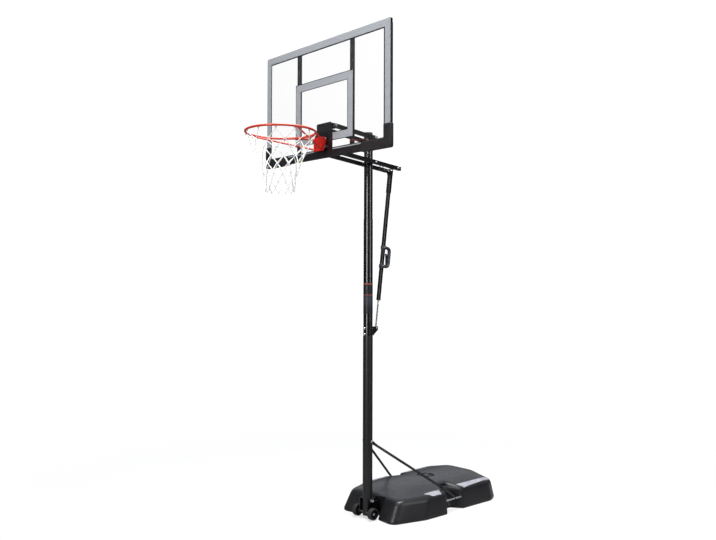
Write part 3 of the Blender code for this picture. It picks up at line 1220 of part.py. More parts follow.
def make_trigger(body, across):
    root_out, root_along = trigger_root()
    lean = Matrix.Rotation(TRIGGER_LEAN, 2)
    half = TRIGGER_DEPTH / 2
    side = [(-half, 0), (half, 0), (half, TRIGGER_LENGTH), (-half - 0.003, TRIGGER_LENGTH),
            (-half, TRIGGER_LENGTH * 0.82)]
    outline = rounded(side, [0, 0, 0.003, 0.0025, 0.02], 3)
    leaned = [Vector((root_out, root_along)) + Vector(point) @ lean for point in outline]
    wide = TRIGGER_WIDTH / 2
    blade = prism([tuple(point) for point in leaned], -wide, wide, across)
    lever = make_piece('trigger', blade, body, 'moulded_black')
    join(lever, body, prism(circle(TRIGGER_ROOT, 14, (root_out, root_along)), -wide, wide, across))
    bevel(lever, 0.0010)
    cut(lever, body, prism(circle(TRIGGER_PIN_RADIUS + GAP, 10, (root_out, root_along)), -wide - 0.01,
                           wide + 0.01, across))


def report_places():
    """Joint places in the finished frame, for the record."""
    root_out, root_along = trigger_root()
    places = {
        'lower pivot': LOWER_PIVOT, 'upper pivot': UPPER_PIVOT, 'front lower': FRONT_LOWER,
        'front upper': FRONT_UPPER, 'rim hinge': RIM_HINGE, 'wheel axis': WHEEL_AXIS,
        'strut foot': STRUT_FOOT, 'strut pin': STRUT_PIN,
        'trigger pivot': STRUT @ Vector((0, root_out, root_along)),
        'base centre': Vector((0, BASE_CENTRE, 0)),
    }
    for name, place in places.items():
        at = place + SHIFT
        print(f'{name}: {at.x:.5f} {at.y:.5f} {at.z:.5f}')
    direction = STRUT.to_3x3() @ Vector((0, 0, 1))
    print(f'strut direction: {direction.x:.5f} {direction.y:.5f} {direction.z:.5f}')


def main():
    clear_scene()
    root = Body('stand', Vector((0, 0, 0)))
    lower = Body('lower_arms', LOWER_PIVOT, root)
    upper = Body('upper_arms', UPPER_PIVOT, root)
    board = Body('board', FRONT_LOWER, lower)
    rim = Body('rim', RIM_HINGE, board)
    tube_body = Body('strut_tube', STRUT_FOOT, root)
    root_out, root_along = trigger_root()
    trigger_body = Body('trigger', STRUT @ Vector((0, root_out, root_along)), tube_body)
    wheels = {'left': Body('wheel_left', WHEEL_AXIS, root), 'right': Body('wheel_right', WHEEL_AXIS, root)}
    cap_body = Body('fill_cap', Vector((0, CAP_CENTRE, BASE_CREST)), root)
    make_base(root, cap_body)
    make_foot(root, wheels)
    make_braces(root)
    make_pole(root)
    make_strut_bracket(root)
    make_arms(lower, upper)
    make_bracket(board)
    make_board(board)
    make_rim_mount(board)
    make_rim(rim)
    make_net(rim)
    make_strut(root, tube_body, trigger_body)
    report_places()


main()
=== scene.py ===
import math
import random

import bmesh
import bpy
from mathutils import Matrix, Vector
from mathutils.bvhtree import BVHTree


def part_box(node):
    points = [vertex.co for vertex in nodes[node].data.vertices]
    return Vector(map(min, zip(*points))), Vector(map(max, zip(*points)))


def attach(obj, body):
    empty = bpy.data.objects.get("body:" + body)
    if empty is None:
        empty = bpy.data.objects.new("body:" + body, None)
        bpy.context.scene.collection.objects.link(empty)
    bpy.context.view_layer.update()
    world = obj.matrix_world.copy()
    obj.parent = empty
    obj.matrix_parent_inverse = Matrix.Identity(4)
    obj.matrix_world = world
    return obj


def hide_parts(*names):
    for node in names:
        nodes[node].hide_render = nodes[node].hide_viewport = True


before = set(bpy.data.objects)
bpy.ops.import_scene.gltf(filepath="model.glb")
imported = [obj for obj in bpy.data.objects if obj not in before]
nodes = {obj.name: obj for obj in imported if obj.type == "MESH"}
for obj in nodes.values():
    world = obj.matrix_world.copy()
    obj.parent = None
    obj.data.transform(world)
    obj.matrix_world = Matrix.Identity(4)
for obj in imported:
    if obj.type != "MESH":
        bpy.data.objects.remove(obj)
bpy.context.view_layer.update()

shiftY = -0.0402            # the pole's axis, along Y in the shared frame
rimHeight = 2.754
boardFace = -0.449 + shiftY
boardLow = 2.624
turn = 2 * math.pi


# small tools: colours, nodes and finishes

def hexToLinear(code):
    parts = [int(code[i:i + 2], 16) / 255 for i in (1, 3, 5)]
    return tuple(p / 12.92 if p <= 0.04045 else ((p + 0.055) / 1.055) ** 2.4 for p in parts) + (1.0,)


def addNode(tree, kind, settings=None, links=None):
    node = tree.nodes.new(kind)
    for key, value in (settings or {}).items():
        if key == "stops":              # a colour ramp's places and hex colours
            while len(node.color_ramp.elements) < len(value):
                node.color_ramp.elements.new(1.0)
            for stop, (place, code) in zip(node.color_ramp.elements, value):
                stop.position = place
                stop.color = hexToLinear(code)
        elif isinstance(key, int) or key in node.inputs:
            node.inputs[key].default_value = value
        else:
            setattr(node, key, value)
    for key, socket in (links or {}).items():
        tree.links.new(socket, node.inputs[key])
    return node


def perMetre(millimetres):
    return 1000 / millimetres           # a texture scale that repeats at this size


def newFinish(name, settings):
    finish = bpy.data.materials.new(name)
    finish.use_nodes = True
    tree = finish.node_tree
    shader = tree.nodes["Principled BSDF"]
    for key, value in settings.items():
        shader.inputs[key].default_value = value
    place = addNode(tree, "ShaderNodeTexCoord").outputs["Object"]   # metres in the shared frame
    return finish, tree, shader, place


def feed(tree, shader, colour, rough, relief=None):
    # joins what a finish has made to its shader
    for key, output in (("Base Color", colour), ("Roughness", rough), ("Normal", relief)):
        if output:
            tree.links.new(output, shader.inputs[key])


# finishes

noiseSpan = {"From Min": 0.3, "From Max": 0.7}      # where most values of a noise texture lie


def powderCoat(name, s):
    # polyester powder baked on steel: an even skin, a faint orange peel that softens highlights
    finish, tree, shader, place = newFinish(name,
                                            {"IOR": 1.5, "Coat Weight": s["coat"], "Coat Roughness": 0.17})
    cloud = addNode(tree, "ShaderNodeTexNoise", {"Scale": perMetre(s["cloud"]), "Detail": 3.0},
                    {"Vector": place})
    colour = addNode(tree, "ShaderNodeValToRGB", {"stops": [(0.32, s["deep"]), (0.68, s["light"])]},
                     {"Fac": cloud.outputs["Fac"]})
    rough = addNode(tree, "ShaderNodeMapRange", {**noiseSpan, "To Min": s["rough"],
                                                 "To Max": s["rough"] + 0.05},
                    {"Value": cloud.outputs["Fac"]})
    peel = addNode(tree, "ShaderNodeTexNoise", {"Scale": perMetre(4.0), "Detail": 1.0}, {"Vector": place})
    bump = addNode(tree, "ShaderNodeBump", {"Strength": 0.6, "Distance": s["peel"] / 1000},
                   {"Height": peel.outputs["Fac"]})
    feed(tree, shader, colour.outputs["Color"], rough.outputs["Result"], bump.outputs["Normal"])
    return finish


# sizes and depths in millimetres
polyethyleneSettings = {"ior": 1.54, "shine": 0.42, "deep": "#151517", "light": "#1c1c1f",
                        "scuffed": "#37373b", "mostScuff": 0.35, "cloud": 160, "scuff": 26, "pebble": 3.0,
                        "smooth": 0.28, "dull": 0.42, "waveDepth": 6.0, "pebbleDepth": 0.2}


def blowMouldedPolyethylene(s):
    # thick HDPE blown in a sand-blasted mould: dull and pebbled, paler where it was scuffed
    finish, tree, shader, place = newFinish("blowMouldedPolyethylene", {"IOR": s["ior"],
                                                                        "Specular IOR Level": s["shine"]})
    cloud = addNode(tree, "ShaderNodeTexNoise", {"Scale": perMetre(s["cloud"]), "Detail": 4.0},
                    {"Vector": place})
    body = addNode(tree, "ShaderNodeValToRGB", {"stops": [(0.35, s["deep"]), (0.65, s["light"])]},
                   {"Fac": cloud.outputs["Fac"]})
    scuff = addNode(tree, "ShaderNodeTexNoise", {"Scale": perMetre(s["scuff"]), "Detail": 7.0,
                                                 "Roughness": 0.7}, {"Vector": place})
    scuffed = addNode(tree, "ShaderNodeMapRange", {"From Min": 0.60, "From Max": 0.80, "To Min": 0.0,
                      "To Max": s["mostScuff"]}, {"Value": scuff.outputs["Fac"]})
    mixed = addNode(tree, "ShaderNodeMix", {"data_type": "RGBA", 7: hexToLinear(s["scuffed"])},
                    {0: scuffed.outputs["Result"], 6: body.outputs["Color"]})
    rough = addNode(tree, "ShaderNodeMapRange", {**noiseSpan, "To Min": s["smooth"], "To Max": s["dull"]},
                    {"Value": scuff.outputs["Fac"]})
    # the real pebble is about 1.5 mm across: drawn at 3 mm so that it shows
    pebble = addNode(tree, "ShaderNodeTexVoronoi", {"feature": "SMOOTH_F1", "Scale": perMetre(s["pebble"])},
                     {"Vector": place})
    waves = addNode(tree, "ShaderNodeBump", {"Strength": 0.3, "Distance": s["waveDepth"] / 1000},
                    {"Height": cloud.outputs["Fac"]})
    grain = addNode(tree, "ShaderNodeBump", {"Strength": 0.4, "Distance": s["pebbleDepth"] / 1000},
                    {"Height": pebble.outputs["Distance"], "Normal": waves.outputs["Normal"]})
    feed(tree, shader, mixed.outputs[2], rough.outputs["Result"], grain.outputs["Normal"])
    return finish


def mouldedPolymer(name, s):
    # injection-moulded in a spark-eroded mould: satin, fine-grained, with slight flow clouds
    finish, tree, shader, place = newFinish(name, {"IOR": s["ior"]})
    cloud = addNode(tree, "ShaderNodeTexNoise", {"Scale": perMetre(35), "Detail": 3.0}, {"Vector": place})
    colour = addNode(tree, "ShaderNodeValToRGB", {"stops": [(0.32, s["deep"]), (0.68, s["light"])]},
                     {"Fac": cloud.outputs["Fac"]})
    rough = addNode(tree, "ShaderNodeMapRange", {**noiseSpan, "To Min": s["rough"],
                                                 "To Max": s["rough"] + 0.12},
                    {"Value": cloud.outputs["Fac"]})
    grit = addNode(tree, "ShaderNodeTexNoise", {"Scale": perMetre(s["grain"]), "Detail": 2.0},
                   {"Vector": place})
    bump = addNode(tree, "ShaderNodeBump", {"Strength": 0.5, "Distance": s["depth"] / 1000},
                   {"Height": grit.outputs["Fac"]})
    feed(tree, shader, colour.outputs["Color"], rough.outputs["Result"], bump.outputs["Normal"])
    return finish


# sizes and depth in millimetres
zincSettings = {"deep": "#ccd0d4", "light": "#eceef0", "spangle": 3.5, "smudge": 9, "bright": 0.26,
                "dull": 0.42, "depth": 0.05}


def zincPlate(s):
    # bright zinc on steel: a small bluish spangle, dulled in patches by handling
    finish, tree, shader, place = newFinish("zincPlate", {"Metallic": 1.0})
    spangle = addNode(tree, "ShaderNodeTexVoronoi", {"Scale": perMetre(s["spangle"])}, {"Vector": place})
    colour = addNode(tree, "ShaderNodeValToRGB", {"stops": [(0.1, s["deep"]), (0.8, s["light"])]},
                     {"Fac": spangle.outputs["Distance"]})
    smudge = addNode(tree, "ShaderNodeTexNoise", {"Scale": perMetre(s["smudge"]), "Detail": 4.0},
                     {"Vector": place})
    rough = addNode(tree, "ShaderNodeMapRange", {**noiseSpan, "To Min": s["bright"], "To Max": s["dull"]},
                    {"Value": smudge.outputs["Fac"]})
    bump = addNode(tree, "ShaderNodeBump", {"Strength": 0.3, "Distance": s["depth"] / 1000},
                   {"Height": smudge.outputs["Fac"]})
    feed(tree, shader, colour.outputs["Color"], rough.outputs["Result"], bump.outputs["Normal"])
    return finish


chromeSettings = {"deep": "#dcdde0", "light": "#f2f3f4", "line": 0.8, "stretch": 0.01, "bright": 0.22,
                  "dull": 0.30}     # the drawing lines are some 0.8 mm apart


def chromePlate(s):
    # hard chrome on a ground rod: bright but softened, with faint drawing lines along it
    finish, tree, shader, place = newFinish("chromePlate", {"Metallic": 1.0})
    drawn = addNode(tree, "ShaderNodeMapping", {"Scale": (1, 1, s["stretch"])}, {"Vector": place})
    lines = addNode(tree, "ShaderNodeTexNoise", {"Scale": perMetre(s["line"]), "Detail": 2.0},
                    {"Vector": drawn.outputs["Vector"]})
    colour = addNode(tree, "ShaderNodeValToRGB", {"stops": [(0.3, s["deep"]), (0.7, s["light"])]},
                     {"Fac": lines.outputs["Fac"]})
    rough = addNode(tree, "ShaderNodeMapRange", {**noiseSpan, "To Min": s["bright"], "To Max": s["dull"]},
                    {"Value": lines.outputs["Fac"]})
    feed(tree, shader, colour.outputs["Color"], rough.outputs["Result"])
    return finish


acrylicSettings = {"ior": 1.49, "edge": "#39414a", "edgeClear": 0.25, "turned": (0.5, 0.9), "haze": 60,
                   "mostHaze": 0.015}


def clearAcrylic(s):
    # cast acrylic sheet: clear and flat, with painted shade on its sawn edges, dark and less clear, standing
    # for the light lost looking along the sheet
    finish, tree, shader, place = newFinish("clearAcrylic", {"IOR": s["ior"]})
    away, flat = s["turned"]
    normal = addNode(tree, "ShaderNodeNewGeometry").outputs["Normal"]
    parts = addNode(tree, "ShaderNodeSeparateXYZ", {}, {0: normal})
    facing = addNode(tree, "ShaderNodeMath", {"operation": "ABSOLUTE"}, {0: parts.outputs["Y"]})
    # painted shade: faces turned away from Y, the sawn edges, take the dark edge colour
    colour = addNode(tree, "ShaderNodeValToRGB", {"stops": [(away, s["edge"]), (flat, "#ffffff")]},
                     {"Fac": facing.outputs[0]})
    clear = addNode(tree, "ShaderNodeMapRange", {"From Min": away, "From Max": flat,
                                                 "To Min": s["edgeClear"], "To Max": 1.0},
                    {"Value": facing.outputs[0]})
    haze = addNode(tree, "ShaderNodeTexNoise", {"Scale": perMetre(s["haze"]), "Detail": 3.0},
                   {"Vector": place})
    rough = addNode(tree, "ShaderNodeMapRange", {**noiseSpan, "To Min": 0.0, "To Max": s["mostHaze"]},
                    {"Value": haze.outputs["Fac"]})
    feed(tree, shader, colour.outputs["Color"], rough.outputs["Result"])
    tree.links.new(clear.outputs["Result"], shader.inputs["Transmission Weight"])
    return finish


def screenInk(name, s):
    # screen-printed vinyl ink: a thin satin film with the screen's fine dots and faint pull streaks
    finish, tree, shader, place = newFinish(name, {"IOR": 1.5, "Coat Weight": 0.2, "Coat Roughness": 0.15})
    pulled = addNode(tree, "ShaderNodeMapping", {"Scale": (0.04, 1, 1)}, {"Vector": place})
    streaks = addNode(tree, "ShaderNodeTexNoise", {"Scale": perMetre(7), "Detail": 3.0},
                      {"Vector": pulled.outputs["Vector"]})
    colour = addNode(tree, "ShaderNodeValToRGB", {"stops": [(0.3, s["deep"]), (0.7, s["light"])]},
                     {"Fac": streaks.outputs["Fac"]})
    rough = addNode(tree, "ShaderNodeMapRange", {**noiseSpan, "To Min": s["rough"],
                                                 "To Max": s["rough"] + 0.1},
                    {"Value": streaks.outputs["Fac"]})
    dots = addNode(tree, "ShaderNodeTexVoronoi", {"Scale": perMetre(1.2), "Randomness": 0.2},
                   {"Vector": place})
    bump = addNode(tree, "ShaderNodeBump", {"Strength": 0.3, "Distance": 0.00002},
                   {"Height": dots.outputs["Distance"]})
    feed(tree, shader, colour.outputs["Color"], rough.outputs["Result"], bump.outputs["Normal"])
    return finish


braidSettings = {"ior": 1.53, "fuzz": 0.35, "glow": 0.15, "deep": "#dadad8", "light": "#fafaf8",
                 "plait": 2.6, "lean": 0.6, "depth": 0.5}     # plait and depth in millimetres


def braidedNylon(s):
    # bleached nylon braid: matt white, plaits crossing round the cord, a little fuzz at grazing light
    finish, tree, shader, _ = newFinish("braidedNylon", {
        "IOR": s["ior"], "Sheen Weight": s["fuzz"], "Sheen Roughness": 0.5, "Subsurface Weight": s["glow"],
        "Subsurface Scale": 0.003})
    along = addNode(tree, "ShaderNodeTexCoord").outputs["UV"]
    plaits = []
    for angle in (s["lean"], -s["lean"]):
        leaned = addNode(tree, "ShaderNodeMapping", {"Rotation": (0, 0, angle)}, {"Vector": along})
        plait = addNode(tree, "ShaderNodeTexWave", {"wave_profile": "SIN",
                        "Scale": perMetre(s["plait"]) / 20, "Distortion": 0.4},
                        {"Vector": leaned.outputs["Vector"]})
        plaits.append(plait.outputs["Fac"])
    woven = addNode(tree, "ShaderNodeMath", {"operation": "MAXIMUM"}, {0: plaits[0], 1: plaits[1]})
    colour = addNode(tree, "ShaderNodeValToRGB", {"stops": [(0.2, s["deep"]), (0.8, s["light"])]},
                     {"Fac": woven.outputs[0]})
    rough = addNode(tree, "ShaderNodeMapRange", {"To Min": 0.85, "To Max": 0.7}, {"Value": woven.outputs[0]})
    bump = addNode(tree, "ShaderNodeBump", {"Strength": 0.6, "Distance": s["depth"] / 1000},
                   {"Height": woven.outputs[0]})
    feed(tree, shader, colour.outputs["Color"], rough.outputs["Result"], bump.outputs["Normal"])
    return finish


labelSettings = {
    # share of the label's height, from its foot, and the colour there
    "bands": ((0.0, "#0f1012"), (0.15, "#17191d"), (0.45, "#353941"), (0.595, "#2c2e33"),
              (0.60, "#cf6a58"), (0.620, "#1c1c1f"), (0.70, "#141416"), (0.94, "#1d1d20"),
              (0.958, "#cf6a58"), (0.985, "#101012")),
    "cloud": 12, "smooth": 0.38, "dull": 0.48, "depth": 0.03,
}


def labelFilm(s):
    # printed vinyl film round the pole: two warm rules over a charcoal panel that fades to black
    low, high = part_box("pole_label")
    finish, tree, shader, place = newFinish("labelFilm", {"IOR": 1.5})
    height = addNode(tree, "ShaderNodeSeparateXYZ", {}, {0: place})
    share = addNode(tree, "ShaderNodeMapRange", {"From Min": low.z, "From Max": high.z},
                    {"Value": height.outputs["Z"]})
    bands = addNode(tree, "ShaderNodeValToRGB", {"stops": s["bands"]}, {"Fac": share.outputs["Result"]})
    cloud = addNode(tree, "ShaderNodeTexNoise", {"Scale": perMetre(s["cloud"]), "Detail": 3.0},
                    {"Vector": place})
    rough = addNode(tree, "ShaderNodeMapRange", {**noiseSpan, "To Min": s["smooth"], "To Max": s["dull"]},
                    {"Value": cloud.outputs["Fac"]})
    bump = addNode(tree, "ShaderNodeBump", {"Strength": 0.3, "Distance": s["depth"] / 1000},
                   {"Height": cloud.outputs["Fac"]})
    feed(tree, shader, bands.outputs["Color"], rough.outputs["Result"], bump.outputs["Normal"])
    return finish


finishes = {
    "tank": blowMouldedPolyethylene(polyethyleneSettings),
    "black": powderCoat("glossBlackPowderCoat", {"deep": "#08080a", "light": "#0e0e10", "cloud": 60,
                                                 "rough": 0.18, "peel": 0.008, "coat": 0.8}),
    "satin": powderCoat("satinBlackPowderCoat", {"deep": "#101012", "light": "#161618", "cloud": 50,
                                                 "rough": 0.40, "peel": 0.010, "coat": 0.0}),
    "orange": powderCoat("orangePowderCoat", {"deep": "#b92f18", "light": "#c93d22", "cloud": 30,
                                              "rough": 0.30, "peel": 0.008, "coat": 0.2}),
    "red": powderCoat("redPowderCoat", {"deep": "#c01410", "light": "#cd2019", "cloud": 24, "rough": 0.26,
                                        "peel": 0.008, "coat": 0.4}),
    "nylon": mouldedPolymer("blackNylon", {"deep": "#161618", "light": "#1e1e21", "rough": 0.40,
                                           "grain": 1.2, "depth": 0.06, "ior": 1.53}),
    "rubber": mouldedPolymer("blackTyreRubber", {"deep": "#1a1a1b", "light": "#29292b", "rough": 0.55,
                                                 "grain": 2.0, "depth": 0.10, "ior": 1.52}),
    # painted highlight: a pale grey that stands for the sheen on the top of the tank, worn by the ribbed
    # strips
    "highlightStrip": mouldedPolymer("greyTreadRubber", {"deep": "#8f8f97", "light": "#a8a8b0", "rough": 0.55,
                                                "grain": 2.0, "depth": 0.12, "ior": 1.52}),
    "grip": mouldedPolymer("slateGripRubber", {"deep": "#272c34", "light": "#353c47", "rough": 0.42,
                                               "grain": 1.6, "depth": 0.08, "ior": 1.52}),
    "white": mouldedPolymer("whitePolyethylene", {"deep": "#d8d8d6", "light": "#ebebe9", "rough": 0.40,
                                                  "grain": 1.2, "depth": 0.05, "ior": 1.54}),
    "zinc": zincPlate(zincSettings),
    "chrome": chromePlate(chromeSettings),
    "sheet": clearAcrylic(acrylicSettings),
    "silverInk": screenInk("silverInk", {"deep": "#9da1a6", "light": "#a9adb2", "rough": 0.38}),
    "blackInk": screenInk("blackInk", {"deep": "#111114", "light": "#19191d", "rough": 0.34}),
    "cord": braidedNylon(braidSettings),
    "label": labelFilm(labelSettings),
}
print("finishes made:", len(finishes))


# CAD solids that stay: one node group welds their facets and shades the round ones smooth

def weldGroup():
    group = bpy.data.node_groups.new("weldAndSmooth", "GeometryNodeTree")
    group.interface.new_socket("Geometry", in_out="INPUT", socket_type="NodeSocketGeometry")
    group.interface.new_socket("Geometry", in_out="OUTPUT", socket_type="NodeSocketGeometry")
    start = addNode(group, "NodeGroupInput")
    welded = addNode(group, "GeometryNodeMergeByDistance", {"Distance": 0.00002},
                     {"Geometry": start.outputs[0]})
    plain = addNode(group, "GeometryNodeRemoveAttribute", {"Name": "custom_normal"},
                    {"Geometry": welded.outputs[0]})
    angle = addNode(group, "GeometryNodeInputMeshEdgeAngle").outputs["Unsigned Angle"]
    soft = addNode(group, "FunctionNodeCompare", {"operation": "LESS_THAN", 1: math.radians(34)}, {0: angle})
    edges = addNode(group, "GeometryNodeSetShadeSmooth", {"domain": "EDGE"},
                    {"Geometry": plain.outputs[0], "Shade Smooth": soft.outputs[0]})
    faces = addNode(group, "GeometryNodeSetShadeSmooth", {"domain": "FACE"}, {"Geometry": edges.outputs[0]})
    addNode(group, "NodeGroupOutput", {}, {0: faces.outputs[0]})
    return group


dressSettings = {
    "bevels": {"frame_": 0.0022, "upright_": 0.0022, "lower_arm": 0.0020, "upper_arm": 0.0020,
               "board_bracket": 0.0008, "foot_bracket": 0.0008, "rim_bracket": 0.0007, "strut_head": 0.0006,
               "rim_mount": 0.0007, "strut_bracket": 0.0006, "arm_cap": 0.0008, "pad_": 0.0012},
    "finishes": {
        "black": ("foot_bracket", "brace_left", "brace_right", "strut_bracket", "lower_arm_left",
                  "lower_arm_right", "upper_arm_left", "upper_arm_right", "frame_top", "frame_left",
                  "frame_right", "upright_left", "upright_right", "board_bracket", "strut_head",
                  "strut_tube", "rim_mount"),
        "satin": ("frame_bottom",),
        "nylon": ("plug_front", "plug_rear", "pad_left", "pad_right", "strut_collar", "trigger"),
        "zinc": ("rim_backing_plate", "trigger_pin"),
        "white": ("arm_cap_left", "arm_cap_right"),
        "sheet": ("backboard_sheet",),
        "red": ("rim_bracket",),
    },
}


def dressSolids():
    weld = weldGroup()
    count = 0
    for finish, names in dressSettings["finishes"].items():
        for name in names:
            solid = nodes[name]
            for slot in solid.material_slots:
                slot.material = finishes[finish]
            smoother = solid.modifiers.new("weldAndSmooth", "NODES")
            smoother.node_group = weld
            count += 1
            for start, width in dressSettings["bevels"].items():
                if name.startswith(start):
                    edge = solid.modifiers.new("softEdge", "BEVEL")
                    edge.width = width
                    edge.segments = 2
                    edge.limit_method = "ANGLE"
                    edge.angle_limit = math.radians(40)
                    edge.harden_normals = True
    return count


print("CAD solids dressed:", dressSolids())


# mesh tools

def addObject(name, data):
    thing = bpy.data.objects.new(name, data)
    bpy.context.scene.collection.objects.link(thing)
    return thing


def meshFrom(bm, name):
    mesh = bpy.data.meshes.new(name)
    bm.to_mesh(mesh)
    bm.free()
    return mesh


def smoothMesh(mesh, angle):
    mesh.shade_smooth()
    mesh.set_sharp_from_angle(angle=math.radians(angle))


def closeMesh(bm, name, body, finish, smooth=35, replaced=()):
    # makes a piece of the faces built so far and lets it ride on its body
    bmesh.ops.recalc_face_normals(bm, faces=bm.faces)
    mesh = meshFrom(bm, name)
    smoothMesh(mesh, smooth)
    mesh.materials.append(finishes[finish])
    piece = addObject(name, mesh)
    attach(piece, body)
    if replaced:
        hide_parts(*replaced)
    return piece


def carve(piece, cutters, smooth=35):
    # takes closed meshes out of a piece and keeps the result as its mesh
    tools = []
    for cutter in cutters:
        bmesh.ops.recalc_face_normals(cutter, faces=cutter.faces)
        tool = addObject("cutter", meshFrom(cutter, "cutter"))
        step = piece.modifiers.new("carve", "BOOLEAN")
        step.object = tool
        step.operation = "DIFFERENCE"
        step.solver = "EXACT"
        tools.append(tool)
    bpy.context.view_layer.update()
    shown = piece.evaluated_get(bpy.context.evaluated_depsgraph_get())
    mesh = bpy.data.meshes.new_from_object(shown)
    piece.modifiers.clear()
    piece.data = mesh
    smoothMesh(mesh, smooth)
    for tool in tools:
        bpy.data.objects.remove(tool, do_unlink=True)
    return piece


def wire(bm, path, radius, sides=12, closed=False, flat=1.0, first=None):
    # a rod along a path, its girth along U and its length in metres along V
    points = [Vector(point) for point in path]
    uvLayer = bm.loops.layers.uv.verify()
    count = len(points)
    widths = radius if isinstance(radius, list) else [radius] * count
    flats = flat if isinstance(flat, list) else [flat] * count
    side = first
    rings = []
    lengths = [0.0]
    for i, point in enumerate(points):
        ahead = points[(i + 1) % count] if closed or i < count - 1 else point
        behind = points[i - 1] if closed or i > 0 else point
        along = (ahead - behind).normalized()
        if side is None:
            side = along.orthogonal()
        side = (side - along * side.dot(along)).normalized()
        other = along.cross(side) * flats[i]
        rings.append([bm.verts.new(point + widths[i] * (side * math.cos(turn * k / sides)
                                   + other * math.sin(turn * k / sides))) for k in range(sides)])
        if i:
            lengths.append(lengths[-1] + (point - points[i - 1]).length)
    girth = turn * max(widths)
    for i in range(count if closed else count - 1):
        lower, upper = rings[i], rings[(i + 1) % count]
        nextLength = lengths[i + 1] if i + 1 < count else lengths[-1] + (points[0] - points[-1]).length
        for k in range(sides):
            m = (k + 1) % sides
            face = bm.faces.new((lower[k], lower[m], upper[m], upper[k]))
            for loop, (u, v) in zip(face.loops, ((k, lengths[i]), (k + 1, lengths[i]),
                                                 (k + 1, nextLength), (k, nextLength))):
                loop[uvLayer].uv = (u / sides * girth, v)
    if not closed:
        bm.faces.new(rings[0])
        bm.faces.new(rings[-1])
    return bm


def addRing(bm, outline, height, place):
    return [bm.verts.new(place @ Vector((a, b, height))) for a, b in outline]


def skin(bm, rings):
    # faces between rings that have the same number of points
    for lower, upper in zip(rings, rings[1:]):
        for k in range(len(lower)):
            m = (k + 1) % len(lower)
            bm.faces.new((lower[k], lower[m], upper[m], upper[k]))


def slab(bm, outline, low, high, place):
    # a flat outline of a place's XY plane, given a thickness along its Z
    rings = [addRing(bm, outline, height, place) for height in (low, high)]
    skin(bm, rings)
    for ring in rings:
        bm.faces.new(ring)
    return bm


def hollowSlab(bm, outer, inner, low, high, place):
    # a slab with an opening: both outlines have the same number of points
    rings = [addRing(bm, outline, height, place)
             for outline, height in ((outer, low), (outer, high), (inner, high), (inner, low))]
    skin(bm, rings + rings[:1])
    return bm


def softSlab(bm, outline, low, high, place, edge):
    # a slab with rounded rims: the outline shrinks towards its middle near both faces
    middle = Vector((sum(a for a, _ in outline), sum(b for _, b in outline))) / len(outline)
    reach = max((Vector(point) - middle).length for point in outline)
    rings = []
    for share in (0.0, 0.3, 0.7, 1.0, -1.0, -0.7, -0.3, 0.0):
        bend = abs(share) * math.pi / 2
        shrink = 1 - edge * (1 - math.sin(bend)) / reach
        rise = edge * (1 - math.cos(bend))
        smaller = [middle + (Vector(point) - middle) * shrink for point in outline]
        rings.append(addRing(bm, smaller, low + rise if len(rings) < 4 else high - rise, place))
    skin(bm, rings)
    bm.faces.new(rings[0])
    bm.faces.new(rings[-1])
    return bm


def roundCorners(points, radii, steps=8):
    outline = []
    for i, point in enumerate(points):
        corner = Vector(point)
        radius = radii[i] if isinstance(radii, (list, tuple)) else radii
        if radius == 0:
            outline.append(tuple(corner))
            continue
        before = (Vector(points[i - 1]) - corner).normalized()
        after = (Vector(points[(i + 1) % len(points)]) - corner).normalized()
        half = before.angle(after) / 2
        centre = corner + (before + after).normalized() * radius / math.sin(half)
        start = corner + before * radius / math.tan(half) - centre
        end = corner + after * radius / math.tan(half) - centre
        sweep = start.angle_signed(end)
        for step in range(steps + 1):
            spoke = start.copy()
            spoke.rotate(Matrix.Rotation(-sweep * step / steps, 2))
            outline.append(tuple(centre + spoke))
    return outline


def framed(left, right, low, high):
    # an upright rectangle: an outline, or the profile of a plain ring or disc
    return [(left, low), (right, low), (right, high), (left, high)]


def bushing(bore, radius, low, high, edge):
    # the profile of a short tube with broken edges
    return [(bore, low), (radius - edge, low), (radius, low + edge), (radius, high - edge),
            (radius - edge, high), (bore, high)]


def lathe(bm, profile, sides, place, grip=lambda k, radius: radius):
    # a (radius, height) profile turned round a place's Z; radius 0 closes it on the axis
    rings = []
    for r, z in profile:
        outline = []
        for k in range(sides if r else 1):
            angle, reach = turn * k / sides, grip(k, r)
            outline.append((reach * math.cos(angle), reach * math.sin(angle)))
        rings.append(addRing(bm, outline, z, place))
    for a, b in zip(rings, rings[1:] + (rings[:1] if profile[0][0] else [])):
        for k in range(sides):
            m = (k + 1) % sides
            corners = (a[k % len(a)], a[m % len(a)], b[m % len(b)], b[k % len(b)])
            bm.faces.new(list(dict.fromkeys(corners)))
    return bm


alongX = Matrix(((0, 0, 1, 0), (1, 0, 0, 0), (0, 1, 0, 0), (0, 0, 0, 1)))      # local Z lies along X
alongY = Matrix(((1, 0, 0, 0), (0, 0, 1, 0), (0, 1, 0, 0), (0, 0, 0, 1)))      # local Z lies along Y


# base tank: a fine loft with softened edges, carved for the pole, the cap, the plugs and the rods

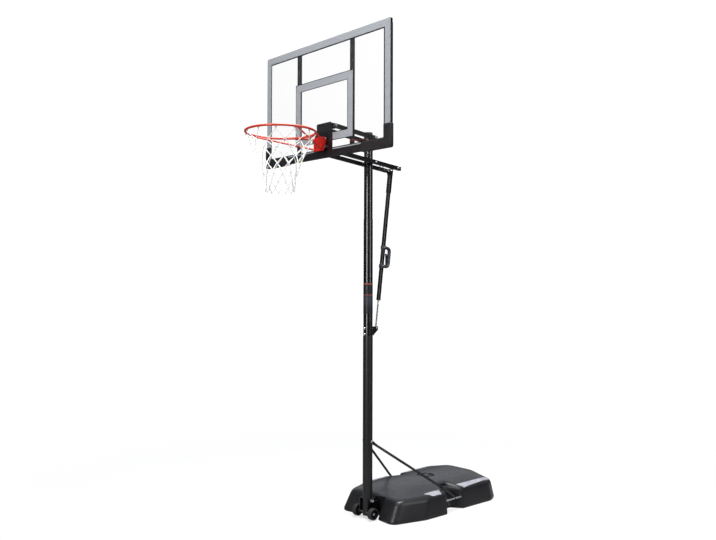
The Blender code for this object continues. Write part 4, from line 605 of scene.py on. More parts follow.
tankSettings = {
    "rear": 1.155, "width": 0.728, "lobe": 0.050, "notchDepth": 0.102, "notchStart": 0.560,
    "notchEnd": 0.640, "notchCorner": 0.0288, "notchEdge": 0.018, "scoop": 0.75, "shoulder": 0.152,
    "crest": 0.204, "middle": 0.6006, "recess": (0.107, 0.0925, 0.015), "recessHeights": (-0.2, 0.4),
    "step": 0.020, "layer": 0.004, "soften": 3, "crownWidth": 0.46, "crownFront": 2.6, "crownRear": 7.0,
    "levels": (
        # height as a share of the rise over the shoulder, or under 0 in metres from the ground;
        # then shares of the width, of the length ahead and behind, of the crown's outline and of the scoop
        (-0.000, 0.985, 0.988, 0.985, 0.00, 0.00), (-0.010, 1.000, 1.000, 1.000, 0.00, 0.00),
        (-0.134, 0.945, 0.888, 0.955, 0.00, 0.85), (0.00, 0.915, 0.858, 0.938, 0.00, 1.00),
        (0.10, 0.880, 0.825, 0.930, 0.05, 1.00), (0.25, 0.800, 0.765, 0.925, 0.30, 0.80),
        (0.48, 0.670, 0.660, 0.915, 0.65, 0.50), (0.74, 0.500, 0.490, 0.900, 0.90, 0.00),
        (0.92, 0.300, 0.300, 0.780, 1.00, 0.00), (0.99, 0.120, 0.130, 0.500, 1.00, 0.00),
        (1.00, 0.000, 0.000, 0.000, 1.00, 0.00)),
    "cap": 0.650, "capRadius": 0.0664, "capPlug": 0.0456, "capDepth": 0.016, "plugDepth": 0.026,
    "capFlare": 0.004, "flareHeights": (0.010, 0.0165), "above": 0.04,
    "plugHole": 0.0086, "plugSeat": 0.0126, "plugHeights": (-0.002, 0.0178, 0.05),
    "anchorRadius": 0.0046, "anchorSpan": (-0.01, 0.048), "anchorHeight": 0.085,
    "rods": 0.325, "rodHeight": 0.088, "rodRadius": 0.0066, "rodSpan": (0.469, 0.741),
}


def tankOutline(scoop):
    s = tankSettings
    half, rear = s["width"] / 2, s["rear"]
    notch = half - s["notchDepth"] * (1 + s["scoop"] * scoop)
    right = [(half * 0.735, -s["lobe"] * 0.36, s["lobe"] * 1.2),
             (half * 0.97, rear * 0.227, s["lobe"] * 1.8),
             (half, s["notchStart"] - s["notchDepth"] * 0.69, s["notchEdge"]),
             (notch, s["notchStart"], s["notchCorner"]), (notch, s["notchEnd"], s["notchCorner"]),
             (half * 0.96, s["notchEnd"] + s["notchDepth"] * 0.6, s["notchEdge"]),
             (half, rear * 0.90, s["lobe"] * 1.6), (half * 0.89, rear - s["lobe"] * 0.4, s["lobe"])]
    corners = [(0, s["lobe"] * 0.4, 0)] + right + [(0, rear, 0)] + [(-x, y, r) for x, y, r in reversed(right)]
    return roundCorners([(x, y) for x, y, _ in corners], [r for _, _, r in corners], 6)


def crownPoint(point):
    # where a point of the outline goes on the crown, a rounded shape squarer behind than ahead
    s = tankSettings
    halfWidth = s["width"] * s["crownWidth"]
    length, power = s["middle"], s["crownFront"]
    if point.y > 0:
        length, power = s["rear"] - s["middle"], s["crownRear"]
    angle = math.atan2(point.y / length, point.x / halfWidth)
    u, v = math.cos(angle), math.sin(angle)
    scale = (abs(u) ** power + abs(v) ** power) ** (-1 / power)
    return Vector((halfWidth * u * scale, length * v * scale))


def tankLayers():
    # the levels with more between them, averaged so that no edge is sharp
    s = tankSettings
    rise = s["crest"] - s["shoulder"]
    coarse = [[s["shoulder"] + rise * level[0] if level[0] >= 0 and i > 2 else -level[0], *level[1:]]
              for i, level in enumerate(s["levels"])]
    fine = []
    for low, high in zip(coarse, coarse[1:]):
        reach = math.hypot(high[0] - low[0], (high[1] - low[1]) * s["width"] / 2)
        count = max(2, round(reach / s["layer"]))
        fine += [[a + (b - a) * i / count for a, b in zip(low, high)] for i in range(count)]
    fine.append(coarse[-1])
    soft = []
    for i, level in enumerate(fine):
        span = min(s["soften"], i, len(fine) - 1 - i)
        near = fine[i - span:i + span + 1]
        soft.append([sum(column) / len(near) for column in zip(*near)])
    return soft


def tankCutters():
    # what is taken out of the tank: pole recess, cap well, plug seats, anchor hole and rod holes
    s = tankSettings
    wide, deep, corner = s["recess"]
    recess = roundCorners(framed(-wide, wide, -deep, deep), [0, 0, corner, corner], 6)
    cutters = [slab(bmesh.new(), recess, *s["recessHeights"], Matrix.Translation((0, shiftY, 0)))]
    seat = Matrix.Translation((0, s["cap"] + shiftY, s["crest"] - s["capDepth"]))
    plug, well, bottom, above = s["capPlug"], s["capRadius"], -s["plugDepth"], s["above"]
    flare, (flareLow, flareHigh) = well + s["capFlare"], s["flareHeights"]
    profile = [(0, bottom), (plug, bottom), (plug, 0), (well, 0), (well, flareLow), (flare, flareHigh),
               (flare, above), (0, above)]
    cutters.append(lathe(bmesh.new(), profile, 64, seat))
    bottom, ledge, above = s["plugHeights"]
    for name in ("plug_front", "plug_rear"):
        low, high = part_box(name)
        spot = Matrix.Translation((0, (low.y + high.y) / 2, low.z))
        profile = [(0, bottom), (s["plugHole"], bottom), (s["plugHole"], ledge), (s["plugSeat"], ledge),
                   (s["plugSeat"], above), (0, above)]
        cutters.append(lathe(bmesh.new(), profile, 32, spot))
    anchor = Matrix.Translation((0, deep + shiftY, s["anchorHeight"])) @ alongY
    cutters.append(lathe(bmesh.new(), framed(0, s["anchorRadius"], *s["anchorSpan"]), 24, anchor))
    for side in (-1, 1):
        rod = Matrix.Translation((side * s["rods"], shiftY, s["rodHeight"])) @ alongY
        cutters.append(lathe(bmesh.new(), framed(0, s["rodRadius"], *s["rodSpan"]), 24, rod))
    return cutters


def makeTank():
    s = tankSettings
    middle = Vector((0, s["middle"]))
    ground = [Vector(p) for p in tankOutline(0)]
    counts = [max(1, round((b - a).length / s["step"])) for a, b in zip(ground, ground[1:] + ground[:1])]
    bm = bmesh.new()
    rings = []
    for height, across, ahead, behind, crown, scoop in tankLayers()[:-1]:
        outline = [Vector(p) for p in tankOutline(scoop)]
        ring = []
        for a, b, count in zip(outline, outline[1:] + outline[:1], counts):
            for i in range(count):
                point = a.lerp(b, i / count) - middle
                mixed = point.lerp(crownPoint(point), crown)
                along = behind if point.y > 0 else ahead
                ring.append(bm.verts.new((mixed.x * across, mixed.y * along + s["middle"] + shiftY, height)))
        rings.append(ring)
    top = bm.verts.new((0, s["middle"] + shiftY, s["crest"]))
    skin(bm, rings)
    bm.faces.new(rings[0])
    last = rings[-1]
    for k in range(len(last)):
        bm.faces.new((last[k], last[(k + 1) % len(last)], top))
    tank = closeMesh(bm, "tankShell", "stand", "tank", replaced=("base_tank",))
    return carve(tank, tankCutters())


tankShell = makeTank()
print("tank shell:", len(tankShell.data.polygons), "faces")


# pale ribbed strips on the shoulders of the tank: a painted highlight, laid where its top catches the light

highlightStripSettings = {
    "front": ((0.268, 0.322), (0.273, 0.490), (0.329, 0.460), (0.323, 0.366)),
    "rear": ((0.265, 0.706), (0.273, 1.072), (0.308, 1.077), (0.322, 0.735)),
    "lift": 0.0014, "groove": 0.0006, "edge": 0.0003, "rows": 72, "across": 10, "depth": 0.0010,
    "above": 0.4,
}


def makeHighlightStrips(tank):
    s = highlightStripSettings
    tree = BVHTree.FromPolygons([vertex.co for vertex in tank.data.vertices],
                                [tuple(face.vertices) for face in tank.data.polygons])
    rows, across = s["rows"], s["across"]
    rim = ([(0, k) for k in range(across)] + [(i, across) for i in range(rows)]
           + [(rows, k) for k in range(across, 0, -1)] + [(i, 0) for i in range(rows, 0, -1)])
    for name in ("front", "rear"):
        a, b, c, d = [Vector((x, y + shiftY, s["above"])) for x, y in s[name]]
        for side, word in ((1, "Right"), (-1, "Left")):
            bm = bmesh.new()
            tops, bottoms = [], []
            for i in range(rows + 1):
                topRow, lowRow = [], []
                for k in range(across + 1):
                    spot = a.lerp(b, i / rows).lerp(d.lerp(c, i / rows), k / across)
                    spot.x *= side
                    hit, normal, _, _ = tree.ray_cast(spot, Vector((0, 0, -1)))
                    rib = s["lift"] if i % 4 < 2 else s["groove"]
                    rise = s["edge"] if i in (0, rows) or k in (0, across) else rib
                    topRow.append(bm.verts.new(hit + normal * rise))
                    lowRow.append(bm.verts.new(hit - normal * s["depth"]))
                tops.append(topRow)
                bottoms.append(lowRow)
            for grid in (tops, bottoms):
                for i in range(rows):
                    for k in range(across):
                        bm.faces.new((grid[i][k], grid[i][k + 1], grid[i + 1][k + 1], grid[i + 1][k]))
            for (i, k), (j, m) in zip(rim, rim[1:] + rim[:1]):
                bm.faces.new((tops[i][k], tops[j][m], bottoms[j][m], bottoms[i][k]))
            # painted highlight: a pale strip laid over the black tank where its top is lit
            closeMesh(bm, f"{name}Tread{word}", "stand", "highlightStrip", 25)


makeHighlightStrips(tankShell)
print("treads made")


# fill cap: a knurled screw cap with a raised grip bar

capSettings = {"sides": 160, "radius": 0.0638, "knurl": 0.0011, "thickness": 0.009, "bar": (0.086, 0.014),
               "barHeights": (-0.005, 0.003), "barCorner": 0.006, "barEdge": 0.002, "stops": 12,
               "stopHalf": 0.0012, "stopHeights": (-0.0038, -0.0012), "plug": 0.044, "plugDepth": 0.022}


def makeFillCap():
    s = capSettings
    low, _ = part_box("fill_cap")
    depth, plug = s["plugDepth"], s["plug"]
    seat = Matrix.Translation((0, tankSettings["cap"] + shiftY, low.z + depth))
    r, t = s["radius"], s["thickness"]
    profile = [(0, -depth), (plug - 0.002, -depth), (plug, -depth + 0.003), (plug, 0.0003),
               (r - 0.001, 0.0003), (r, 0.0012), (r, t - 0.0028), (r - 0.0012, t - 0.0008), (r - 0.0035, t),
               (r * 0.80, t), (r * 0.76, t - 0.003), (r * 0.40, t - 0.003), (r * 0.38, t - 0.0036),
               (0, t - 0.0036)]
    bm = lathe(bmesh.new(), profile, s["sides"], seat,
               lambda k, radius: radius - (s["knurl"] if radius > r - 0.002 and k % 4 < 2 else 0))
    length, width = s["bar"]
    bar = roundCorners(framed(-length / 2, length / 2, -width / 2, width / 2), s["barCorner"], 6)
    softSlab(bm, bar, *[t + height for height in s["barHeights"]], seat, s["barEdge"])
    stop = framed(r * 0.66, r * 0.775, -s["stopHalf"], s["stopHalf"])
    for k in range(s["stops"]):         # moulded stops inside the raised ring
        spoke = seat @ Matrix.Rotation(turn * (k + 0.5) / s["stops"], 4, "Z")
        slab(bm, stop, *[t + height for height in s["stopHeights"]], spoke)
    return closeMesh(bm, "fillCap", "fill_cap", "nylon", 30, ("fill_cap",))


makeFillCap()


# wheels: ribbed tyre, web with spokes and a long hub

wheelSettings = {"sides": 108, "radius": 0.042, "near": 0.063, "far": 0.099, "rim": 0.0335,
                 "groove": 0.0016, "web": (0.0725, 0.0815), "hub": 0.012, "bore": 0.0066,
                 "hubStart": 0.04225, "hubEnd": 0.0925, "spokes": 6, "rib": 0.0016, "ribInset": 0.003,
                 "lip": 0.0008, "bite": 0.0004}


def makeWheel(side, word):
    s = wheelSettings
    name = "wheel_" + word
    low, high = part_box(name)
    axis = Vector((0, (low.y + high.y) / 2, (low.z + high.z) / 2))
    place = Matrix.Translation(axis) @ alongX @ Matrix.Diagonal((1, 1, side, 1))
    r, rim = s["radius"], s["rim"]
    near, far = s["near"], s["far"]
    tyre = [(rim, near + 0.001), (rim + 0.0012, near), (r - 0.0032, near), (r - 0.0010, near + 0.0012),
            (r, near + 0.0035), (r, (near + far) / 2 - 0.002), (r - 0.0018, (near + far) / 2 - 0.001),
            (r - 0.0018, (near + far) / 2 + 0.001), (r, (near + far) / 2 + 0.002), (r, far - 0.0035),
            (r - 0.0010, far - 0.0012), (r - 0.0032, far), (rim + 0.0012, far), (rim, far - 0.001)]
    bm = lathe(bmesh.new(), tyre, s["sides"], place,
               lambda k, radius: radius - (s["groove"] if radius > r - 0.0008 and k % 6 in (4, 5) else 0))
    closeMesh(bm, "tyre_" + word, name, "rubber", 30, (name,))
    hub, lip, outer = s["hub"], s["lip"], rim + s["bite"]
    bm = lathe(bmesh.new(), framed(hub - 0.001, rim + 2 * s["bite"], *s["web"]), 64, place)
    for edge in (near + lip, far - lip):        # inner lip of the wheel on each side
        lathe(bm, framed(rim - 0.0025, outer, edge - lip, edge + lip), 64, place)
    lathe(bm, framed(rim - 0.0012, outer, near + 0.001, far - 0.001), 64, place)
    lathe(bm, bushing(s["bore"], hub, s["hubStart"], s["hubEnd"], 0.0008), 40, place)
    for k in range(s["spokes"]):
        spoke = place @ Matrix.Rotation(turn * k / s["spokes"], 4, "Z")
        rib = framed(hub - 0.001, rim, -s["rib"], s["rib"])
        slab(bm, rib, near + s["ribInset"], far - s["ribInset"], spoke)
    closeMesh(bm, "wheelBody_" + word, name, "nylon", 30)


makeWheel(1, "right")
makeWheel(-1, "left")
print("cap and wheels made")


# bolts and pins: washer, chamfered hexagon, shank, nut and thread in each solid's own box

boltSettings = {
    # name: (body, shank, head length, head shape, tail length, tail shape)
    "foot_bolt": ("stand", 0.006, 0.022, "hex", 0.022, "nut"),
    "wheel_axle": ("stand", 0.006, 0.005, "hex", 0.005, "nut"),
    "brace_bolt": ("stand", 0.005, 0.007, "hex", 0.007, "nut"),
    "strut_foot_pin": ("stand", 0.004, 0.004, "dome", 0.004, "dome"),
    "lower_pivot_bolt": ("stand", 0.005, 0.007, "nut", 0.007, "hex"),
    "upper_pivot_bolt": ("stand", 0.005, 0.007, "nut", 0.007, "hex"),
    "strut_cross_pin": ("lower_arms", 0.005, 0.007, "nut", 0.007, "hex"),
    "front_lower_bolt": ("board", 0.005, 0.007, "nut", 0.007, "hex"),
    "front_upper_bolt": ("board", 0.005, 0.007, "nut", 0.007, "hex"),
    "rim_hinge_pin": ("board", 0.004, 0.0035, "dome", 0.0035, "dome"),
    "strut_bracket_bolt_upper": ("stand", 0.004, 0.006, "dome", 0.010, "nut"),
    "strut_bracket_bolt_lower": ("stand", 0.004, 0.006, "dome", 0.010, "nut"),
    "foot_anchor_bolt": ("stand", 0.004, 0.007, "hex", 0.0, "plain"),
}
threadSettings = {"pitch": 0.0008, "depth": 0.0005, "washer": 0.0014, "smallNut": 0.0068}
spacerSettings = {"radius": 0.0097, "half": 0.053, "names": ("front_lower_bolt", "front_upper_bolt")}


def makeHead(bm, place, shape, radius, length, shank):
    # one end of a bolt, from the face it bears on (0) outwards
    if shape == "dome":
        lathe(bm, [(0, 0), (radius, 0), (radius, length * 0.25), (radius * 0.93, length * 0.55),
                   (radius * 0.70, length * 0.85), (radius * 0.36, length * 0.98), (0, length)], 32, place)
        return
    washer = threadSettings["washer"]
    lathe(bm, framed(0, radius, 0, washer), 32, place)
    top = length if shape == "hex" else max(length * 0.72, washer + 0.0025)
    flat = radius * 0.94
    lathe(bm, [(0, washer), (flat, washer), (flat, top - 0.0008), (flat * 0.88, top), (0, top)], 6, place)
    if shape == "nut":
        pitch, depth = threadSettings["pitch"], threadSettings["depth"]
        thread = [(0, top - 0.001), (shank, top - 0.001)]
        height = top
        while height + pitch < length:
            thread += [(shank, height), (shank - depth, height + pitch / 2)]
            height += pitch
        lathe(bm, thread + [(shank - depth, length), (0, length)], 24, place)


def makeBolts():
    for name, (body, shank, headLength, headShape, tailLength, tailShape) in boltSettings.items():
        low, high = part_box(name)
        size = high - low
        axis = max(range(3), key=lambda i: size[i])
        other = [i for i in range(3) if i != axis]
        radius = min(size[i] for i in other) / 2
        place = Matrix.Translation((low + high) / 2) @ (alongX if axis == 0 else alongY)
        half = size[axis] / 2
        start, end = half - headLength, half - tailLength
        tip = end + 0.0004 * (tailLength > 0)       # a shank reaches a little into its nut
        bm = lathe(bmesh.new(), [(0, -start - 0.0004), (shank, -start - 0.0004), (shank, end - 0.0002),
                                 (shank - 0.0004, tip), (0, tip)], 24, place)
        flip = Matrix.Rotation(math.pi, 4, "X")
        makeHead(bm, place @ Matrix.Translation((0, 0, -start)) @ flip, headShape, radius, headLength, shank)
        if tailShape != "plain":
            nutRadius = threadSettings["smallNut"] if headShape == "dome" and tailShape == "nut" else radius
            makeHead(bm, place @ Matrix.Translation((0, 0, end)), tailShape, nutRadius, tailLength, shank)
        if name in spacerSettings["names"]:
            reach = spacerSettings["half"]
            lathe(bm, bushing(shank, spacerSettings["radius"], -reach, reach, 0.0006), 32, place)
        closeMesh(bm, "bolt_" + name, body, "zinc", 30, (name,))


anchorSettings = {"radius": 0.006, "tab": 0.615 + shiftY, "tabHalf": 0.0026, "core": 0.005,
                  "collar": (0.0088, 0.0049), "washer": (0.0106, 0.0014), "nut": (0.0104, 0.0092, 0.0088)}


def makeAnchorRods():
    s = anchorSettings
    tab, core = s["tab"], s["core"]         # the brace's flat foot sits on the rod at the tab
    collarRadius, collarLength = s["collar"]
    washerRadius, washer = s["washer"]
    nutRadius, nutEnd, nutLength = s["nut"]
    for side, word in ((-1, "left"), (1, "right")):
        name = "anchor_rod_" + word
        low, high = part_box(name)
        place = Matrix.Translation((side * tankSettings["rods"], 0, tankSettings["rodHeight"])) @ alongY
        bm = lathe(bmesh.new(), framed(0, s["radius"], low.y, high.y), 32, place)
        near = tab - s["tabHalf"]
        lathe(bm, framed(core, collarRadius, near - collarLength, near), 32, place)
        nut = place @ Matrix.Translation((0, 0, tab + s["tabHalf"]))
        lathe(bm, framed(core, washerRadius, 0, washer), 32, nut)
        lathe(bm, [(core, washer), (nutRadius, washer), (nutRadius, nutLength - 0.0008),
                   (nutEnd, nutLength), (core, nutLength)], 6, nut)
        closeMesh(bm, "anchorRod_" + word, "stand", "zinc", 30, (name,))


makeBolts()
makeAnchorRods()
print("bolts made:", len(boltSettings))


# pole: three round tubes, each a little narrower than the one under it, a cap and a label

poleSettings = {"sides": 72, "lip": 0.004, "wall": 0.0015,
                "coats": {"pole_bottom": "satin", "pole_middle": "black", "pole_top": "black"}}


def makePole():
    s = poleSettings
    axis = Matrix.Translation((0, shiftY, 0))
    for name, coat in s["coats"].items():
        low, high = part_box(name)
        radius = high.x
        profile = [(radius - 0.0006, low.z), (radius, low.z + 0.0006), (radius, high.z - s["lip"]),
                   (radius - 0.0004, high.z - s["lip"] * 0.3), (radius - 0.001, high.z),
                   (radius - s["wall"], high.z), (radius - s["wall"], low.z)]
        tube = lathe(bmesh.new(), profile, s["sides"], axis)
        closeMesh(tube, name.replace("pole_", "poleTube_"), "stand", coat, replaced=(name,))
    low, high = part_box("pole_label")
    profile = [(high.x, low.z), (high.x, high.z), (high.x - 0.0004, high.z), (high.x - 0.0004, low.z)]
    closeMesh(lathe(bmesh.new(), profile, s["sides"], axis), "labelWrap", "stand", "label",
              replaced=("pole_label",))
    low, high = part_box("pole_cap")
    r = high.x
    top, plug = high.z, r - s["wall"] - 0.0006
    profile = [(0, low.z), (plug, low.z), (plug, top - 0.0057), (r - 0.0004, top - 0.0057),
               (r, top - 0.0052), (r - 0.0003, top - 0.0030), (r - 0.0022, top - 0.0010),
               (r * 0.86, top - 0.0002), (r * 0.4, top), (0, top)]
    closeMesh(lathe(bmesh.new(), profile, s["sides"], axis), "poleCap", "stand", "nylon",
              replaced=("pole_cap",))


makePole()
print("pole made")


# lift strut: chromed rod with its eye, and the D-shaped handle clamped on the tube

strutSettings = {"foot": (0, 0.0423, 1.400), "lean": math.atan2(0.12833, 0.99173), "rod": 0.006,
                 "rodEnd": 0.520, "eye": 0.011, "eyeWidth": 0.016, "bore": 0.0046, "rodStart": 0.0078}
strutPlace = Matrix.Translation(strutSettings["foot"]) @ Matrix.Rotation(-strutSettings["lean"], 4, "X")


def makeRod():
    s = strutSettings
    r, start, end = s["rod"], s["rodStart"], s["rodEnd"]
    bm = lathe(bmesh.new(), [(0, start), (r, start), (r, end - 0.0008), (r - 0.0008, end), (0, end)], 48,
               strutPlace)
    half = s["eyeWidth"] / 2
    lathe(bm, bushing(s["bore"], s["eye"], -half, half, 0.001), 48, strutPlace @ alongX)
    closeMesh(bm, "strutRod", "stand", "chrome", replaced=("strut_rod",))


handleSettings = {"centre": 0.5445, "arm": 0.0715, "reach": 0.0690, "bend": 0.026, "wide": 0.0158,
                  "thick": 0.0112, "armThick": 0.0122, "clamp": (0.0160, -0.0185, 0.0160, 0.0135),
                  "tube": 0.0128, "corner": 0.009, "pivot": (0.0505, 0.47435), "pocket": 0.0070,
                  "pocketHalf": 0.0068, "pocketRise": 0.03, "tubeCorner": 0.003, "root": 0.006,
                  "gripStart": 0.035, "gripGrow": 0.03, "taper": 0.0008, "fingers": 0.0225, "bumps": 0.0007,
                  "screw": (0.0034, 0.0019), "screwSink": 0.0006}


def makeHandle():
    s = handleSettings
    bend, arm, reach = s["bend"], s["arm"], s["reach"]
    root = s["root"]
    route = [(root, -arm)] + [(root + (reach - bend - root) * t / 5, -arm) for t in range(1, 5)]
    route += [(reach - bend + bend * math.sin(a), -arm + bend - bend * math.cos(a))
              for a in [math.pi / 2 * t / 10 for t in range(11)]]
    straight = arm - bend
    route += [(reach, -straight + 2 * straight * t / 24) for t in range(1, 24)]
    route += [(out, -along) for out, along in reversed(route[:16])]
    widths, flats, path = [], [], []
    for out, along in route:
        grip = min(max((out - s["gripStart"]) / s["gripGrow"], 0), 1)
        fingers = s["bumps"] * math.cos(along / s["fingers"] * turn) * grip
        thick = s["armThick"] + (s["thick"] - s["armThick"]) * grip + fingers
        width = s["wide"] - s["taper"] * grip
        widths.append(width)
        flats.append(thick / width)
        path.append(strutPlace @ Vector((0, out, s["centre"] + along)))
    handle = closeMesh(wire(bmesh.new(), path, widths, 28, False, flats, Vector((1, 0, 0))), "liftHandle",
                       "strut_tube", "grip", 50, ("lift_handle",))
    out, along = s["pivot"]
    wide, tube = s["pocketHalf"], s["tube"]
    pocket = roundCorners(framed(out - wide, out + wide, along - wide, s["centre"] - arm + s["pocketRise"]),
                          0.004, 5)
    tubeHole = roundCorners(framed(-tube, tube, -tube, tube), s["tubeCorner"], 4)
    carve(handle, [slab(bmesh.new(), pocket, -s["pocket"], s["pocket"], strutPlace @ alongX),
                   slab(bmesh.new(), tubeHole, s["centre"] - 0.1, s["centre"] + 0.1, strutPlace)], 50)
    half, back, front, tall = s["clamp"]
    for word, middle in (("lower", -arm), ("upper", arm)):
        place = strutPlace @ Matrix.Translation((0, 0, s["centre"] + middle))
        block = roundCorners(framed(-half, half, back, front), [s["corner"], s["corner"], 0.004, 0.004], 6)
        clamp = closeMesh(softSlab(bmesh.new(), block, -tall, tall, place, 0.003), "handleClamp_" + word,
                          "strut_tube", "grip", 40)
        carve(clamp, [slab(bmesh.new(), tubeHole, -0.05, 0.05, place)], 40)
        bm = bmesh.new()
        for side in (-1, 1):            # a pan-head screw on each cheek of the clamp
            spot = place @ Matrix.Translation((side * (half - s["screwSink"]), -0.0005, 0)) @ alongX
            makeHead(bm, spot @ Matrix.Diagonal((1, 1, side, 1)), "dome", *s["screw"], 0)
        closeMesh(bm, "clampScrews_" + word, "strut_tube", "zinc")


makeRod()
makeHandle()
print("strut rod and handle made")


# rim: hoop, two arms, two braces and twelve net hooks

rimSettings = {
    "centre": Vector((0, -0.830 + shiftY, rimHeight)), "radius": 0.2366, "wire": 0.008, "steps": 144,
    "armWire": 0.007, "armSpread": 38.0, "braceWire": 0.006, "braceTurn": 9.0,
    "front": -0.449 - 0.051 - 0.0003 + shiftY, "inner": 0.033, "drop": 0.078,
    "armLow": 0.0017, "braceHigh": 0.0015,
    "hooks": 12, "hookWire": 0.0019, "hookWidth": 0.0041, "hookDrop": 0.012, "hookBite": 0.55,
}


def onRing(angle, radius, height=0.0):
    # a point round the hoop, angle 0 on the +X side and a quarter turn towards the board
    centre = rimSettings["centre"]
    return Vector((radius * math.cos(angle), centre.y + radius * math.sin(angle), centre.z + height))


def makeHoop():
    s = rimSettings
    bm = bmesh.new()
    wire(bm, [onRing(turn * i / s["steps"], s["radius"]) for i in range(s["steps"])], s["wire"], 20, True)
    for side in (-1, 1):
        spread = math.radians(90 - s["armSpread"])
        end = onRing(spread if side > 0 else math.pi - spread, s["radius"])
        start = Vector((side * s["inner"], s["front"], rimHeight - s["armLow"]))
        wire(bm, [start.lerp(end, t / 8) for t in range(9)], s["armWire"], 16)
        low = Vector((side * s["inner"], s["front"], rimHeight - s["drop"] + s["braceHigh"]))
        away = math.radians(-s["braceTurn"])
        foot = onRing(away if side > 0 else math.pi - away, s["radius"], -s["wire"])
        wire(bm, [low.lerp(foot, t / 12) for t in range(13)], s["braceWire"], 14)
    for i in range(s["hooks"]):
        angle = turn * (i + 0.5) / s["hooks"]
        across = Vector((-math.sin(angle), math.cos(angle), 0))
        top = onRing(angle, s["radius"], -s["wire"] * s["hookBite"])
        reach = s["wire"] * (1 - s["hookBite"]) + s["hookDrop"] - s["hookWire"]
        path = [top + across * s["hookWidth"]]
        for t in range(9):
            bend = math.pi * t / 8
            path.append(top + across * s["hookWidth"] * math.cos(bend)
                        - Vector((0, 0, reach - s["hookWidth"] + s["hookWidth"] * math.sin(bend))))
        path.append(top - across * s["hookWidth"])
        wire(bm, path, s["hookWire"], 10)
    return closeMesh(bm, "hoop", "rim", "orange", replaced=("rim_ring",))


makeHoop()
print("hoop made")


# net: twenty-four braided cords that cross in knots

netSettings = {"loops": 12, "rows": 8, "length": 0.380, "endRadius": 0.096, "topRadius": 0.2366,
               "taper": 1.7, "cord": 0.0026, "drop": 0.0229, "steps": 6, "sway": 0.0022,
               "knot": 0.0048, "knotShape": (0.75, 0.9, 1.15), "topKnot": 0.8, "topKnotTall": 0.7}


def makeNet():
    s = netSettings
    chance = random.Random(7)
    spots = {}
    for row in range(s["rows"]):
        share = row / (s["rows"] - 1)
        radius = s["endRadius"] + (s["topRadius"] - s["endRadius"]) * (1 - share) ** s["taper"]
        for i in range(s["loops"]):
            angle = turn * (i + 0.5 + row / 2) / s["loops"]
            sway = s["sway"] if 0 < row else 0
            spot = onRing(angle + chance.uniform(-1, 1) * sway / radius,
                          radius + chance.uniform(-1, 1) * sway,
                          -s["drop"] - s["length"] * share
                          + chance.uniform(-1, 1) * sway * (row < s["rows"] - 1))
            spots[row, i] = spot
    bm = bmesh.new()
    for i in range(s["loops"]):
        for lean in (0, 1):             # one cord leans each way from every hook
            track = [spots[row, (i - row * lean) % s["loops"]] for row in range(s["rows"])]
            path = []
            for row in range(s["rows"] - 1):
                before = track[max(row - 1, 0)]
                here, there = track[row], track[row + 1]
                after = track[min(row + 2, s["rows"] - 1)]
                for t in range(s["steps"]):
                    u = t / s["steps"]
                    path.append(0.5 * (2 * here + (there - before) * u
                                       + (2 * before - 5 * here + 4 * there - after) * u * u
                                       + (3 * here - 3 * there + after - before) * u ** 3))
            path.append(track[-1])
            wire(bm, path, s["cord"], 10)
    for (row, i), spot in spots.items():
        outward = (spot - Vector((0, rimSettings["centre"].y, spot.z))).normalized()
        size = s["knot"] * (1.0 if row else s["topKnot"])
        deep, wide, tall = s["knotShape"]
        place = Matrix.Translation(spot) @ outward.to_track_quat("X", "Z").to_matrix().to_4x4()
        place = place @ Matrix.Diagonal((deep, wide, tall if row else s["topKnotTall"], 1))
        bmesh.ops.create_icosphere(bm, subdivisions=2, radius=size, matrix=place)
    return closeMesh(bm, "netCords", "rim", "cord", 60, ("net",))


makeNet()
print("net made")


# springs of the breakaway rim: the rim's guide pins slide into them as it tips

springSettings = {"radius": 0.0095, "wire": 0.0011, "turns": 5, "steps": 26, "offset": 0.022,
                  "height": rimHeight - 0.052, "start": -0.0242 + boardFace,
                  "end": -0.449 - 0.0003 - 0.004 - 0.0003 + shiftY,
                  "pin": 0.0025, "seat": 0.008, "flange": 0.0012, "wall": -0.0475 + boardFace,
                  "pinEnd": -0.0225 + boardFace}


def makeSpring(side, word):
    s = springSettings
    pitch = (s["end"] - s["start"] - 2 * s["wire"]) / (s["turns"] - 1)
    path = []
    for i in range(s["turns"] * s["steps"] + 1):
        turns = i / s["steps"]
        rise = min(max(turns - 0.5, 0), s["turns"] - 1) * pitch
        path.append((side * s["offset"] + s["radius"] * math.cos(turn * turns),
                     s["start"] + s["wire"] + rise, s["height"] + s["radius"] * math.sin(turn * turns)))
    closeMesh(wire(bmesh.new(), path, s["wire"], 12), "spring_" + word, "board", "zinc",
              replaced=("rim_spring_" + word,))
    place = Matrix.Translation((side * s["offset"], 0, s["height"])) @ alongY
    wall, tip, pin, seat = s["wall"], s["pinEnd"], s["pin"], s["seat"]
    flange = wall + s["flange"]
    profile = [(0, wall), (seat, wall), (seat, flange), (seat - 0.0004, flange + 0.0004),
               (pin, flange + 0.0004), (pin, tip - 0.0006), (pin - 0.0006, tip), (0, tip)]
    closeMesh(lathe(bmesh.new(), profile, 32, place), "springPin_" + word, "rim", "zinc",
              30)


makeSpring(-1, "left")
makeSpring(1, "right")
print("springs made")


# print on the board: thin ink films on the front of the sheet

printSettings = {"film": 0.00018, "halfWidth": 0.660, "top": 3.4618, "corner": 0.012, "border": 0.050,
                 "line": 0.0095, "lowBorder": 0.0075, "bar": 0.0482, "targetHalf": 0.309,
                 "targetLow": 0.111, "targetHigh": 0.570, "band": 0.050, "outline": 0.0050,
                 "patchHalf": 0.100, "patchTop": 0.186, "gap": 0.0005, "thinLine": 0.7}


